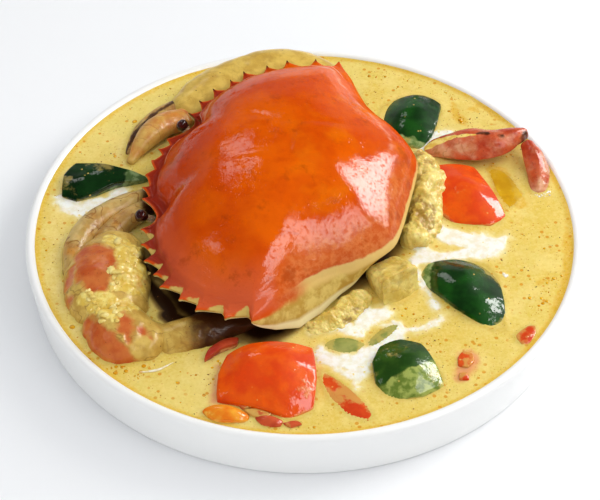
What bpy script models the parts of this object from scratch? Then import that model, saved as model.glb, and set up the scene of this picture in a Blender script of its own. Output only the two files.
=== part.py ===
"""A cooked mud crab, chopped and served in curry sauce in a low round white dish.

The crab's back shell lies on top, its teeth towards -X, over the chopped body. The two
claws, one walking leg, a leg stub, squares of green and red pepper and a few smaller
vegetables stand in the sauce round it. Each of them is one closed solid, and the sauce is
a solid of its own that is cut round everything that stands in it.

Sizes and places below are in millimetres, with the origin under the middle of the dish on
the surface that it stands on. They become metres where a mesh is made.
"""

import math

import bmesh
import bpy
import numpy as np

MM = 0.001
GAP = 0.3  # between pieces that touch

# The dish: a straight low wall on a flat base.
DISH_RADIUS = 110.0
DISH_HEIGHT = 22.0
DISH_WALL = 4.0
DISH_FLOOR = 4.5
BASE_RADIUS = 108.0
HEEL_RADIUS = 1.5
INNER_FILLET = 6.0
WALL_DRAFT = 1.5  # how far the inside closes in from the rim to the fillet
TURN_STEPS = 48

# The sauce, up to the level shown.
SAUCE_LEVEL = 20.5

# The back shell, in its own frame: f forwards, s to its right, h up from its edge.
SHELL_CENTRE = np.array([-2.2, 10.2, 34.0])
SHELL_YAW = math.radians(167.0)
SHELL_PITCH = math.radians(4.5)  # front edge down
SHELL_DOME = 26.0
SHELL_WALL = 2.3
SHELL_POLE = np.array([6.0, 0.0])  # the (f, s) below its highest point
REAR_DROP = 4.5  # how much lower the rear edge lies than the toothed edge
FRONTAL_TIPS = [(62.2, 4.6), (61.5, 11.7), (59.6, 18.0)]
ORBIT = [(54.5, 22.0), (51.0, 27.0), (51.5, 31.5)]
LATERAL_TIPS = [
    (55.2, 35.4), (52.7, 43.6), (49.0, 52.0), (43.2, 58.7), (39.0, 64.8),
    (30.0, 70.0), (22.3, 74.5), (10.3, 77.0), (0.0, 76.7),
]
REAR_EDGE = [
    (-6.0, 69.0), (-10.0, 62.0), (-16.5, 52.0), (-24.0, 44.5), (-33.0, 37.8), (-41.0, 28.8), (-44.2, 20.0), (-44.5, 0.0),
]
REAR_STEPS = 10
# The side wall behind the last teeth: how far it drops below the edge, and how far its
# foot stands out from it. It turns in where the last leg comes out.
TOOTH_WALL = (1.2, -0.3)
SIDE_WALL = [
    (0.0, 4.5, -1.5), (12.0, 5.0, -2.0), (18.0, 6.0, -7.0), (24.0, 7.5, -10.0), (30.0, 8.5, -9.5),
    (36.0, 8.5, -4.0), (42.0, 10.0, 0.5), (50.0, 13.0, 5.0), (58.0, 13.0, 6.0), (68.0, 8.0, 3.0), (77.0, 1.2, -0.3),
]
FOOT_WALL = 2.0
EDGE_WALL = (-3.5, -1.3)  # the shell's inside under its edge: how far out and how far up
NOTCH_PLACE = 0.25  # of the way from a tooth's tip to the tip before it
FRONTAL_NOTCH = 2.6
LATERAL_NOTCH = 4.5
# Height of the shell from its pole (0) to its edge (1), as parts of SHELL_DOME.
FRONT_PROFILE = [(0.0, 1.0), (0.25, 0.985), (0.5, 0.87), (0.7, 0.61), (0.82, 0.34), (0.91, 0.14), (1.0, 0.0)]
REAR_PROFILE = [(0.0, 1.0), (0.3, 0.985), (0.55, 0.91), (0.75, 0.72), (0.88, 0.44), (0.95, 0.22), (1.0, 0.0)]
SHELL_RINGS = [0.3, 0.52, 0.7, 0.83, 0.92]
INNER_RINGS = [0.88, 0.7, 0.4]

# The chopped body that the shell rests on.
BODY_REACH = 0.7  # of the way from the shell's pole to its edge
BODY_UNDERSIDE = 8.0
BODY_CLEARANCE = 1.5  # below the inside of the shell

LIMB_SIDES = 10
CAP_SHRINK, CAP_STEP = 0.65, 0.5  # a limb's rounded end
SLAB_SIDES = 12
SLAB_STEPS = [(0.5, 0.0), (0.85, 0.0), (1.0, 0.3), (0.96, 1.0)]  # (reach, depth) from the middle down

bpy.context.scene.unit_settings.system = "METRIC"
for old in list(bpy.data.objects):
    bpy.data.objects.remove(old, do_unlink=True)


def new_collection(name, hidden=False):
    """A collection linked to the scene."""
    collection = bpy.data.collections.new(name)
    collection.hide_render = hidden
    bpy.context.scene.collection.children.link(collection)
    return collection


PARTS = new_collection("cooked_crab")
CUTTERS = new_collection("cutters", hidden=True)
SAUCE_CUTTERS = new_collection("sauce_cutters", hidden=True)


def finish(name, colour, roughness):
    """A Principled material in one colour, given as linear red, green and blue."""
    material = bpy.data.materials.new(name)
    material.use_nodes = True
    shader = material.node_tree.nodes["Principled BSDF"]
    shader.inputs["Base Color"].default_value = (*colour, 1.0)
    shader.inputs["Roughness"].default_value = roughness
    shader.inputs["Metallic"].default_value = 0.0
    material.diffuse_color = (*colour, 1.0)
    return material


WHITE_GLAZE = finish("white_glaze", (0.86, 0.86, 0.85), 0.25)
CURRY_SAUCE = finish("curry_sauce", (0.70, 0.52, 0.14), 0.35)
CRAB_SHELL = finish("crab_shell", (0.62, 0.09, 0.008), 0.22)
COATED_SHELL = finish("coated_shell", (0.60, 0.40, 0.11), 0.4)
CRAB_MEAT = finish("crab_meat", (0.55, 0.42, 0.16), 0.5)
CRAB_EYE = finish("crab_eye", (0.05, 0.008, 0.008), 0.1)
GREEN_PEPPER = finish("green_pepper", (0.012, 0.09, 0.012), 0.2)
RED_PEPPER = finish("red_pepper", (0.72, 0.06, 0.006), 0.2)
ONION = finish("onion", (0.62, 0.40, 0.03), 0.3)


def smooth(points, count, closed=False):
    """A Catmull-Rom curve through the points, at evenly spaced parameters."""
    points = np.asarray(points, float)
    spans = len(points) if closed else len(points) - 1
    t = np.linspace(0, spans, count, endpoint=not closed)
    k = np.minimum(t.astype(int), spans - 1)
    t = (t - k)[:, None]
    if closed:
        p0, p1, p2, p3 = (points[(k + step) % spans] for step in (-1, 0, 1, 2))
    else:
        padded = np.vstack([2 * points[0] - points[1], points, 2 * points[-1] - points[-2]])
        p0, p1, p2, p3 = (padded[k + step] for step in (0, 1, 2, 3))
    return 0.5 * (
        2 * p1 + (p2 - p0) * t + (2 * p0 - 5 * p1 + 4 * p2 - p3) * t**2 + (3 * p1 - p0 - 3 * p2 + p3) * t**3
    )


def follow(profile, u):
    """The height of a profile, given by a few points, at each place u along it."""
    fine = smooth(profile, 121)
    return np.interp(u, fine[:, 0], fine[:, 1])


def arc(centre, radius, start, end, count):
    """Points of an arc, with its angles in degrees."""
    angles = np.radians(np.linspace(start, end, count))
    return [(centre[0] + radius * math.cos(a), centre[1] + radius * math.sin(a)) for a in angles]


def add_object(name, mesh, material, collection=PARTS):
    """An object that holds the mesh, shaded smooth up to a sharp edge."""
    if material:
        mesh.materials.append(material)
    mesh.shade_smooth()
    mesh.set_sharp_from_angle(angle=math.radians(50))
    piece = bpy.data.objects.new(name, mesh)
    collection.objects.link(piece)
    return piece


def turned(name, profile, material):
    """A solid turned round Z from a profile of (radius, height) that runs down its outer side."""
    mesh = bpy.data.meshes.new(name)
    points = [(radius * MM, 0.0, height * MM) for radius, height in profile]
    mesh.from_pydata(points, [(i, i + 1) for i in range(len(points) - 1)], [])
    piece = add_object(name, mesh, material)
    screw = piece.modifiers.new("turn", "SCREW")
    screw.steps = screw.render_steps = TURN_STEPS
    screw.use_merge_vertices = True
    screw.merge_threshold = 1e-5
    screw.use_smooth_shade = True
    return piece


def loft(name, rings, material):
    """Skins a stack of closed rings and closes each end on its middle.

    The faces are triangles, so that a swollen copy bends along the same edges.
    """
    rings = np.asarray(rings, float)
    levels, sides = rings.shape[:2]
    points = np.vstack([rings.reshape(-1, 3), rings[0].mean(0), rings[-1].mean(0)])
    here = np.arange(sides)
    there = (here + 1) % sides
    faces = []
    for level in range(levels - 1):
        low, high = level * sides, (level + 1) * sides
        faces += np.stack([low + here, low + there, high + there, high + here], 1).tolist()
    first, last = levels * sides, levels * sides + 1
    top = (levels - 1) * sides
    faces += np.stack([there, here, np.full(sides, first)], 1).tolist()
    faces += np.stack([top + here, top + there, np.full(sides, last)], 1).tolist()
    mesh = bpy.data.meshes.new(name)
    mesh.from_pydata((points * MM).tolist(), [], faces)
    shape = bmesh.new()
    shape.from_mesh(mesh)
    bmesh.ops.triangulate(shape, faces=shape.faces)
    bmesh.ops.recalc_face_normals(shape, faces=shape.faces)
    shape.to_mesh(mesh)
    shape.free()
    return add_object(name, mesh, material)


def limb(name, path, widths, heights, material, stations=6, sides=LIMB_SIDES, roll=0.0, lumps=0.0, square=2.0):
    """A closed tube of oval sections along a path.

    The half width lies level and the half height across it, unless the section is rolled,
    outer side up. A higher square makes the section boxier. Lumps swell it unevenly.
    """
    centre = smooth(path, stations)
    half = smooth(np.stack([widths, heights], 1), stations)
    along = np.gradient(centre, axis=0)
    along /= np.linalg.norm(along, axis=1)[:, None]
    side = np.cross(along, [0.0, 0.0, 1.0])
    side /= np.linalg.norm(side, axis=1)[:, None]
    up = np.cross(side, along)
    turn = math.radians(roll)
    side, up = side * math.cos(turn) + up * math.sin(turn), up * math.cos(turn) - side * math.sin(turn)
    angles = np.linspace(0, 2 * math.pi, sides, endpoint=False)
    across = np.sign(np.cos(angles)) * np.abs(np.cos(angles)) ** (2 / square)
    above = np.sign(np.sin(angles)) * np.abs(np.sin(angles)) ** (2 / square)
    place = np.arange(stations)[:, None]
    swell = 1 + lumps * (np.sin(2.1 * place + 3 * angles) + 0.6 * np.sin(3.7 * place - 2 * angles))
    sections = (
        side[:, None] * (across * half[:, :1] * swell)[..., None]
        + up[:, None] * (above * half[:, 1:] * swell)[..., None]
    )
    rings = list(centre[:, None] + sections)
    rings.insert(0, centre[0] - along[0] * CAP_STEP * half[0].min() + sections[0] * CAP_SHRINK)
    rings.append(centre[-1] + along[-1] * CAP_STEP * half[-1].min() + sections[-1] * CAP_SHRINK)
    return loft(name, rings, material)


def slab(name, outline, top, thickness, dome, material, lean=(0.0, 0.0), sides=SLAB_SIDES):
    """A curved piece cut from a pepper's wall: skin side up, its cut edge all round.

    Top is the height of the skin at the middle, dome how far it falls to the edge, and
    lean how much it rises for each millimetre towards +X and +Y.
    """
    edge = smooth(outline, sides, closed=True)
    middle = edge.mean(0)
    rings = []
    for reach, depth in SLAB_STEPS:
        flat = middle + (edge - middle) * reach
        rise = (flat - middle) @ np.array(lean) - dome * reach**2
        rings.append(np.column_stack([flat, top + rise - thickness * depth]))
    return loft(name, rings, material)


def make_dish():
    """The wall's inside leans in to a fillet, its rim is round and its heel nearly sharp."""
    rim = DISH_WALL / 2
    inner_foot = DISH_RADIUS - DISH_WALL - WALL_DRAFT
    fillet_centre = (inner_foot - INNER_FILLET, DISH_FLOOR + INNER_FILLET)
    profile = [(0.0, DISH_FLOOR)]
    profile += arc(fillet_centre, INNER_FILLET, -90, 0, 3)
    profile += arc((DISH_RADIUS - rim, DISH_HEIGHT - rim), rim, 180, 0, 5)
    profile += arc((BASE_RADIUS - HEEL_RADIUS, HEEL_RADIUS), HEEL_RADIUS, 0, -90, 2)
    profile += [(0.0, 0.0)]
    return turned("dish", profile, WHITE_GLAZE)


def make_sauce():
    """The sauce fills the dish to its level, a gap away from the wall and the floor."""
    inner_foot = DISH_RADIUS - DISH_WALL - WALL_DRAFT
    fillet_centre = (inner_foot - INNER_FILLET, DISH_FLOOR + INNER_FILLET)
    share = (SAUCE_LEVEL - fillet_centre[1]) / (DISH_HEIGHT - DISH_WALL / 2 - fillet_centre[1])
    at_level = inner_foot + WALL_DRAFT * share - GAP
    profile = [(0.0, SAUCE_LEVEL), (at_level, SAUCE_LEVEL)]
    profile += arc(fillet_centre, INNER_FILLET - GAP, 0, -90, 3)
    profile += [(0.0, DISH_FLOOR + GAP)]
    return turned("sauce", profile, CURRY_SAUCE)


def shell_half():
    """The right half of the shell's edge from its front middle to its rear middle.

    Returns the smooth edge, which runs through the tips, the toothed edge, and the drop and
    reach of the side wall below each point.
    """
    tips = np.array(FRONTAL_TIPS)
    plain, toothed = [np.array([61.0, 0.0])], [np.array([59.5, 0.0])]

    def add_teeth(tips, depth):
        for i, tip in enumerate(tips):
            if i:
                back = tips[i - 1] - tip
                place = tip + NOTCH_PLACE * back
                inward = np.array([-back[1], back[0]]) / np.linalg.norm(back)
                inward *= np.sign(inward @ (SHELL_POLE - place))
                plain.append(place)
                toothed.append(place + depth * inward)
            plain.append(tip)
            toothed.append(tip)

    add_teeth(tips, FRONTAL_NOTCH)
    for point in ORBIT:
        plain.append(np.array(point))
        toothed.append(np.array(point))
    add_teeth(np.array(LATERAL_TIPS), LATERAL_NOTCH)
    front_count = len(plain)
    rear = smooth([LATERAL_TIPS[-1]] + REAR_EDGE, REAR_STEPS + 1)[1:]
    plain += list(rear)
    toothed += list(rear)
    side, drop, out = np.array(SIDE_WALL).T
    wall = np.tile(TOOTH_WALL, (len(plain), 1))
    wall[front_count:, 0] = np.interp(rear[:, 1], side, drop)
    wall[front_count:, 1] = np.interp(rear[:, 1], side, out)
    return np.array(plain), np.array(toothed), wall


def shell_edges():
    """The whole edge, once round, from the front middle by the right side."""
    plain, toothed, wall = shell_half()
    mirror = np.array([1.0, -1.0])
    plain = np.vstack([plain, plain[-2:0:-1] * mirror])
    toothed = np.vstack([toothed, toothed[-2:0:-1] * mirror])
    return plain, toothed, np.vstack([wall, wall[-2:0:-1]])


def shell_height(edge, reach):
    """How far the shell's outside stands above its edge plane, towards each edge point."""
    to_rear = np.clip((4.0 - edge[:, 0]) / 24.0, 0, 1)
    to_rear = to_rear * to_rear * (3 - 2 * to_rear)
    dome = (1 - to_rear) * follow(FRONT_PROFILE, reach) + to_rear * follow(REAR_PROFILE, reach)
    fall = np.clip((-5.0 - edge[:, 0]) / 39.0, 0, 1)
    fall = fall * fall * (3 - 2 * fall)
    return SHELL_DOME * dome - REAR_DROP * fall * reach**2


def shell_to_world(flat, height):
    """Turns points of the shell's own frame to the world."""
    forward = np.array([
        math.cos(SHELL_YAW) * math.cos(SHELL_PITCH),
        math.sin(SHELL_YAW) * math.cos(SHELL_PITCH),
        -math.sin(SHELL_PITCH),
    ])
    right = np.array([math.sin(SHELL_YAW), -math.cos(SHELL_YAW), 0.0])
    up = np.cross(right, forward)
    up *= np.sign(up[2])
    return SHELL_CENTRE + flat[:, :1] * forward + flat[:, 1:] * right + np.asarray(height)[:, None] * up


def inner_ring(edge, reach, gap=0.0):
    """A ring of the shell's inside, the gap further in."""
    flat = SHELL_POLE + (edge - SHELL_POLE) * reach
    toward = edge - SHELL_POLE
    toward = toward / np.linalg.norm(toward, axis=1)[:, None]
    return flat - toward * (SHELL_WALL + gap), shell_height(edge, reach) - SHELL_WALL - gap


def make_shell():
    """The back shell, from its pole out to the teeth, round the edge and back inside."""
    plain, toothed, wall = shell_edges()
    rings = []
    for reach in SHELL_RINGS:
        flat = SHELL_POLE + (plain - SHELL_POLE) * reach
        rings.append(shell_to_world(flat, shell_height(plain, reach)))
    edge_height = shell_height(plain, 1.0)
    rings.append(shell_to_world(toothed, edge_height))
    outward = toothed - SHELL_POLE
    outward = outward / np.linalg.norm(outward, axis=1)[:, None]
    drop, out = wall[:, 0], wall[:, 1:]
    rings.append(shell_to_world(toothed + outward * out, edge_height - drop))
    rings.append(shell_to_world(toothed + outward * (out - FOOT_WALL), edge_height - drop))
    rings.append(shell_to_world(toothed + outward * EDGE_WALL[0], edge_height + EDGE_WALL[1]))
    for reach in INNER_RINGS:
        rings.append(shell_to_world(*inner_ring(plain, reach)))
    return loft("carapace", rings, CRAB_SHELL)


def make_body():
    """The body fills the shell from inside and reaches down into the sauce."""
    plain, _, _ = shell_edges()
    plain = plain[::4]
    edge = SHELL_POLE + (plain - SHELL_POLE) * BODY_REACH
    around = np.arange(len(edge))
    uneven = 1.2 * np.sin(1.7 * around) + 0.8 * np.sin(0.9 * around + 1.0)
    toward = (edge - SHELL_POLE) / np.linalg.norm(edge - SHELL_POLE, axis=1)[:, None]
    rings = []
    for reach, height in ((0.75, BODY_UNDERSIDE), (0.95, BODY_UNDERSIDE + 3), (0.97, SAUCE_LEVEL + 1)):
        flat = SHELL_POLE + (edge - SHELL_POLE) * reach + toward * uneven[:, None] * 0.6
        ring = shell_to_world(flat, np.zeros(len(edge)))
        ring[:, 2] = height
        rings.append(ring)
    for reach in (BODY_REACH, 0.4):
        rings.append(shell_to_world(*inner_ring(plain, reach, BODY_CLEARANCE)))
    return loft("crab_body", rings, CRAB_MEAT)


def make_eye(name, place, foot):
    """An eye: a round ball on a short stalk that comes out of its socket."""
    place, foot = np.array(place), np.array(foot)
    path = [foot, foot + 0.45 * (place - foot), foot + 0.75 * (place - foot), place]
    return limb(name, path, [1.5, 1.5, 2.3, 2.6], [1.5, 1.5, 2.3, 2.6], CRAB_EYE, stations=6, sides=8)


def make_far_claw():
    """The palm lies beyond the shell, its two fingers pointing to the dish's left."""
    palm = limb(
        "far_claw_palm",
        [(16, 82, 19), (3, 86, 20), (-10, 85.5, 20.5), (-25, 81, 20.5), (-39, 75, 20.5), (-50, 68, 20.5)],
        [8.0, 14.5, 17.5, 17.0, 14.0, 9.0],
        [5.5, 9.0, 10.0, 9.5, 8.5, 6.5],
        COATED_SHELL, stations=8, sides=12, roll=22.0,
    )
    fixed = limb(
        "far_claw_fixed_finger",
        [(-50, 73, 20), (-60, 66, 20.5), (-68, 56, 20.5), (-73, 43, 19.5)],
        [5.5, 4.5, 3.5, 1.5], [5.0, 4.5, 3.5, 1.5], COATED_SHELL, sides=8,
    )
    moving = limb(
        "far_claw_moving_finger",
        [(-50, 61, 24), (-58, 56, 25.5), (-65, 48, 25), (-71, 38, 21.5)],
        [5.5, 5.5, 4.5, 1.8], [4.5, 4.5, 4.0, 1.8], COATED_SHELL, sides=8,
    )
    return [palm, fixed, moving]


def make_near_claw():
    """The palm bulges at the left, its fingers curve back under the shell's front."""
    palm = limb(
        "near_claw_palm",
        [(-73, -46, 20), (-75.5, -36, 21), (-75.5, -24, 21), (-73, -12, 21)],
        [14.0, 16.5, 16.0, 10.5], [9.5, 11.5, 11.0, 8.0], COATED_SHELL, sides=12, lumps=0.02,
    )
    carpus = limb(
        "near_claw_wrist",
        [(-77, -53, 19.5), (-68, -59, 20), (-57, -62, 19.5)],
        [9.0, 13.5, 9.5], [8.0, 10.5, 8.0], COATED_SHELL, stations=5, sides=12, lumps=0.02,
    )
    arm = limb(
        "near_claw_arm",
        [(-51, -60, 18.5), (-39, -56, 19.5), (-28, -51, 20), (-19, -46, 20)],
        [8.0, 8.5, 8.0, 7.0], [6.5, 7.0, 7.0, 6.0], COATED_SHELL, stations=5,
    )
    fixed = limb(
        "near_claw_fixed_finger",
        [(-90, -26, 20.5), (-89.5, -14, 21.5), (-84.5, -2, 22), (-77, 6, 22.5), (-69, 12, 22.5), (-61, 17, 22)],
        [3.5, 4.8, 5.5, 5.2, 4.6, 3.5], [5.0, 5.5, 5.5, 5.0, 4.5, 3.5], COATED_SHELL, stations=9, sides=8,
    )
    moving = limb(
        "near_claw_moving_finger",
        [(-79, -9, 22.5), (-73, -1, 23.5), (-66, 6, 23.5), (-60, 11, 23)],
        [4.5, 4.5, 4.0, 3.0], [4.5, 4.5, 4.0, 3.0], COATED_SHELL, stations=5, sides=8,
    )
    return [palm, carpus, arm, fixed, moving]


def make_leg():
    """One walking leg: a flat red section and the next one bent down at its joint."""
    upper = limb(
        "leg_upper",
        [(51, 44, 21.5), (56, 45, 23), (66, 44, 25.5), (77, 43, 27), (86, 46, 28), (90, 48, 28)],
        [3.0, 5.0, 7.8, 7.2, 4.5, 3.0], [2.0, 3.0, 4.2, 4.2, 3.8, 3.0], CRAB_SHELL,
        stations=8, roll=-12.0,
    )
    lower = limb(
        "leg_lower",
        [(91.5, 42.5, 26.5), (93.5, 37, 25.5), (95, 30, 22.5), (94.5, 22, 19.5)],
        [3.2, 4.4, 4.8, 3.6], [3.0, 4.0, 4.2, 3.0], CRAB_SHELL, stations=5,
    )
    return [upper, lower]


def make_meat():
    """The chopped body where it comes out from under the shell, and a cut leg stub."""
    stub = limb(
        "leg_stub",
        [(29, -23.5, 20.5), (32, -28, 22.5), (37, -36, 24.5)],
        [6.0, 8.0, 8.5], [3.5, 5.5, 7.5], CRAB_MEAT, stations=5, sides=12, square=3.2,
    )
    rear = limb(
        "rear_meat",
        [(46, 38, 21), (49, 27, 22), (47.5, 13, 21.5), (46.5, 2, 21.5), (43.5, -8, 20.5)],
        [5.0, 7.0, 7.5, 7.0, 5.5], [7.0, 8.5, 8.5, 8.0, 6.5], CRAB_MEAT, stations=8, lumps=0.07,
    )
    front = limb(
        "front_meat",
        [(2, -54, 18), (10, -51, 18.5), (17, -46, 19.5), (22, -39, 20)],
        [5.0, 5.5, 5.5, 5.0], [4.5, 5.0, 5.5, 5.0], CRAB_MEAT, stations=6, lumps=0.07,
    )
    return [stub, rear, front]


def make_green_peppers():
    """Four squares of green pepper and two slices that lie nearly sunken."""
    left = [
        (-93, 36), (-83, 34), (-71, 30), (-62, 27), (-66, 25), (-76, 22), (-84, 17), (-91, 14), (-97, 17), (-97, 28),
    ]
    back = [(30, 62), (37, 77), (51, 80), (58, 75), (56, 63), (53, 53), (48, 46), (40, 49)]
    right = [
        (43, -26), (48, -20), (59, -17), (69, -19), (75, -25), (76, -40), (76, -57), (68, -53), (58, -45), (49, -35),
    ]
    front = [(25, -73), (28, -66), (36, -63), (44, -65), (49, -74), (52, -83), (44, -88), (32, -90), (26, -82)]
    wide = [(6, -63), (13, -58.5), (22, -61.5), (22, -65), (14, -67.5)]
    narrow = [(24.5, -65), (24.5, -59), (33, -52), (37, -52.5), (31, -60)]
    return [
        slab("green_pepper_left", left, 26.0, 6.0, 4.5, GREEN_PEPPER, (0.0, 0.12)),
        slab("green_pepper_back", back, 28.0, 6.0, 6.0, GREEN_PEPPER),
        slab("green_pepper_right", right, 28.5, 6.0, 7.0, GREEN_PEPPER),
        slab("green_pepper_front", front, 28.5, 6.0, 6.0, GREEN_PEPPER, (0.0, 0.12)),
        slab("green_slice_wide", wide, 21.8, 5.0, 0.8, GREEN_PEPPER, sides=10),
        slab("green_slice_narrow", narrow, 21.8, 5.0, 0.8, GREEN_PEPPER, sides=10),
    ]


def make_red_peppers():
    """Two squares of red pepper, a strip that lies nearly sunken, and a scrap at the wall."""
    right = [(52, 33), (61, 34), (70, 33), (76, 18), (81, 6), (74, 1), (59, 3), (52, 11), (55, 22)]
    front = [
        (-28, -72), (-20, -69), (-10, -67), (3, -68), (4.5, -83), (3, -95), (-5, -99), (-17, -95), (-31, -91), (-31, -80),
    ]
    strip = [(5, -74), (9, -76), (17, -85), (24, -94), (26, -99), (20, -100), (13, -94), (7, -86)]
    scrap = [(79, -58), (84, -53.5), (87, -53), (87, -57), (84, -62), (81, -62)]
    return [
        slab("red_pepper_right", right, 28.0, 6.0, 5.5, RED_PEPPER, (0.0, 0.08)),
        slab("red_pepper_front", front, 30.5, 7.0, 5.0, RED_PEPPER, (0.03, 0.18)),
        slab("red_strip", strip, 21.8, 5.0, 0.8, RED_PEPPER, sides=12),
        slab("red_scrap", scrap, 22.0, 4.5, 0.8, RED_PEPPER, sides=8),
    ]


def make_small_pieces():
    """Soft vegetable and broken shell by the front red pepper, a flake, and sunken onion."""
    orange = [(-37, -95), (-31, -93.5), (-25, -95), (-20, -98), (-23, -101), (-30, -99.5)]
    broken = [(-18.5, -97.5), (-12, -98.5), (-8, -100), (-9, -102.5), (-15, -102.5)]
    flake = [(-37, -69), (-36, -62), (-26, -61), (-25, -65), (-31, -67), (-35, -72)]
    onion = [(75, 35), (81, 33), (85, 27), (88, 18), (82, 11), (79, 16), (77, 24)]
    return [
        slab("orange_piece", orange, 25.0, 6.5, 3.0, ONION, sides=10),
        slab("broken_shell", broken, 24.0, 5.0, 2.5, CRAB_SHELL, sides=8),
        slab("shell_flake", flake, 24.5, 4.5, 2.0, CRAB_SHELL, sides=10),
        slab("onion_piece", onion, 21.4, 4.0, 0.4, ONION, sides=10),
    ]


def cutter_of(piece, collection):
    """A copy of the piece, swollen by the gap, that cuts its neighbours and isn't rendered."""
    mesh = piece.data.copy()
    count = len(mesh.vertices)
    points = np.empty(count * 3, np.float32)
    normals = np.empty(count * 3, np.float32)
    mesh.vertices.foreach_get("co", points)
    mesh.vertex_normals.foreach_get("vector", normals)
    mesh.vertices.foreach_set("co", points + normals * GAP * MM)
    cutter = bpy.data.objects.new(piece.name + "_cutter", mesh)
    cutter.hide_render = True
    cutter.display_type = "WIRE"
    collection.objects.link(cutter)
    return cutter


def boxes_meet(one, other):
    """Whether the boxes round two meshes overlap."""
    a, b = (np.array([v.co for v in piece.data.vertices]) for piece in (one, other))
    return bool(np.all(a.min(0) < b.max(0)) and np.all(b.min(0) < a.max(0)))


def cut(piece, cutter):
    """Takes the cutter out of the piece."""
    boolean = piece.modifiers.new("clear_of_" + cutter.name, "BOOLEAN")
    boolean.operation = "DIFFERENCE"
    boolean.solver = "EXACT"
    boolean.use_self = True  # a swollen copy can cross itself at a tooth's root
    boolean.object = cutter


def keep_apart(pieces):
    """Each piece makes room for those before it in the list that its box meets."""
    cutters = {}
    for i, piece in enumerate(pieces):
        for other in pieces[:i]:
            if not boxes_meet(piece, other):
                continue
            if other.name not in cutters:
                cutters[other.name] = cutter_of(other, CUTTERS)
            cut(piece, cutters[other.name])


def main():
    """Makes every piece, first those that others make room for, and last the sauce."""
    eyes = [
        make_eye("eye_far", (-50.5, 50.0, 31.8), (-46.0, 47.5, 26.0)),
        make_eye("eye_near", (-65.0, -1.2, 29.8), (-59.5, -3.5, 26.0)),
    ]
    pieces = [make_shell()] + eyes + [make_body()]
    pieces += make_far_claw() + make_near_claw() + make_leg() + make_meat()
    pieces += make_red_peppers() + make_green_peppers() + make_small_pieces()
    keep_apart(pieces)
    make_dish()
    sauce = make_sauce()
    for piece in pieces:
        lowest = min(vertex.co.z for vertex in piece.data.vertices)
        if lowest < SAUCE_LEVEL * MM:
            cut(sauce, cutter_of(piece, SAUCE_CUTTERS))


main()
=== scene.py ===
# %% [markdown]
# # A cooked mud crab in curry sauce
#
# The dish holds a chopped mud crab: its back shell on top, the two claws, a leg and the
# soft body round it, squares of pepper, and a yellow sauce with coconut cream. The packed
# model already fixes where each piece lies and how large it is. This notebook gives each of
# them its fine surface and its finish. It loads the imported model first, because every place
# below is read from it.

# %% Load the imported model
import math

import bpy
import numpy as np
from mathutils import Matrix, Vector


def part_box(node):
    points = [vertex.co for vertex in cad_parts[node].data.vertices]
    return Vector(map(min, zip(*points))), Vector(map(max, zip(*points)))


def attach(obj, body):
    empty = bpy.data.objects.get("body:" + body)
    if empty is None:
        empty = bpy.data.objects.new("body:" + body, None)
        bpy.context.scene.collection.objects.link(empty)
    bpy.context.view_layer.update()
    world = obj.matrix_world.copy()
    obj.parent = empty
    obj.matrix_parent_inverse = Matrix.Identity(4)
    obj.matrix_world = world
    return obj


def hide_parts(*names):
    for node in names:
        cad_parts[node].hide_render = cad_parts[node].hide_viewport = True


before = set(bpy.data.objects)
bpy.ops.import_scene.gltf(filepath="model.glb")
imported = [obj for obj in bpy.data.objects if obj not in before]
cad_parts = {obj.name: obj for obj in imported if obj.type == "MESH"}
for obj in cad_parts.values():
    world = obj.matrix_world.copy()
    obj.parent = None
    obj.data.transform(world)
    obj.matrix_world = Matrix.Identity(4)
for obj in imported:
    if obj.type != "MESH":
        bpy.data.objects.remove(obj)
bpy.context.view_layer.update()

MM = 0.001

# %% [markdown]
# ## Curves and smooth noise
#
# Food has no straight lines, so nearly every piece starts as a smooth curve through a few
# points, roughened by noise. A Catmull-Rom curve passes through its points, which makes them
# easy to place. Blender has noise functions too, but they take one point at a time. Value
# noise worked out with arrays handles a whole surface at once: random numbers on a lattice,
# blended with an even fade.

# %% Curves
def smooth(points, count, closed=False):
    """A Catmull-Rom curve through the points, at evenly spaced parameters."""
    points = np.asarray(points, float)
    spans = len(points) if closed else len(points) - 1
    t = np.linspace(0, spans, count, endpoint=not closed)
    k = np.minimum(t.astype(int), spans - 1)
    t = (t - k)[:, None]
    if closed:
        p0, p1, p2, p3 = (points[(k + step) % spans] for step in (-1, 0, 1, 2))
    else:
        padded = np.vstack([2 * points[0] - points[1], points, 2 * points[-1] - points[-2]])
        p0, p1, p2, p3 = (padded[k + step] for step in (0, 1, 2, 3))
    squared = (2 * p0 - 5 * p1 + 4 * p2 - p3) * t**2
    cubed = (3 * p1 - p0 - 3 * p2 + p3) * t**3
    return 0.5 * (2 * p1 + (p2 - p0) * t + squared + cubed)


def follow(profile, u):
    """The height of a profile, given by a few points, at each place u along it."""
    fine = smooth(profile, 121)
    return np.interp(u, fine[:, 0], fine[:, 1])


def ramp(x, low, high):
    """Rises from 0 at low to 1 at high, flat at both ends."""
    t = np.clip((x - low) / (high - low), 0, 1)
    return t * t * (3 - 2 * t)


# %% Noise
def lattice(cells, seed):
    """A repeatable random number from -1 to 1 for each cell of a lattice, by mixing its bits."""
    x, y, z = (cells[..., i].astype(np.int64) for i in range(3))
    mixed = (x * 374761393 + y * 668265263 + z * 1440662683 + seed * 974634777) & 0xFFFFFFFF
    mixed = ((mixed ^ (mixed >> 13)) * 1274126177) & 0xFFFFFFFF
    return ((mixed ^ (mixed >> 16)) & 0xFFFF) / 32767.5 - 1.0


def noise(points, size, seed=0):
    """Value noise: the eight lattice numbers round a point, weighted by how near each is."""
    place = np.asarray(points, float) / size
    cell = np.floor(place)
    part = place - cell
    part = part**3 * (part * (part * 6 - 15) + 10)
    total = 0.0
    for corner in np.ndindex(2, 2, 2):
        weight = np.prod(np.where(corner, part, 1 - part), axis=-1)
        total = total + weight * lattice(cell + corner, seed)
    return total


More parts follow.
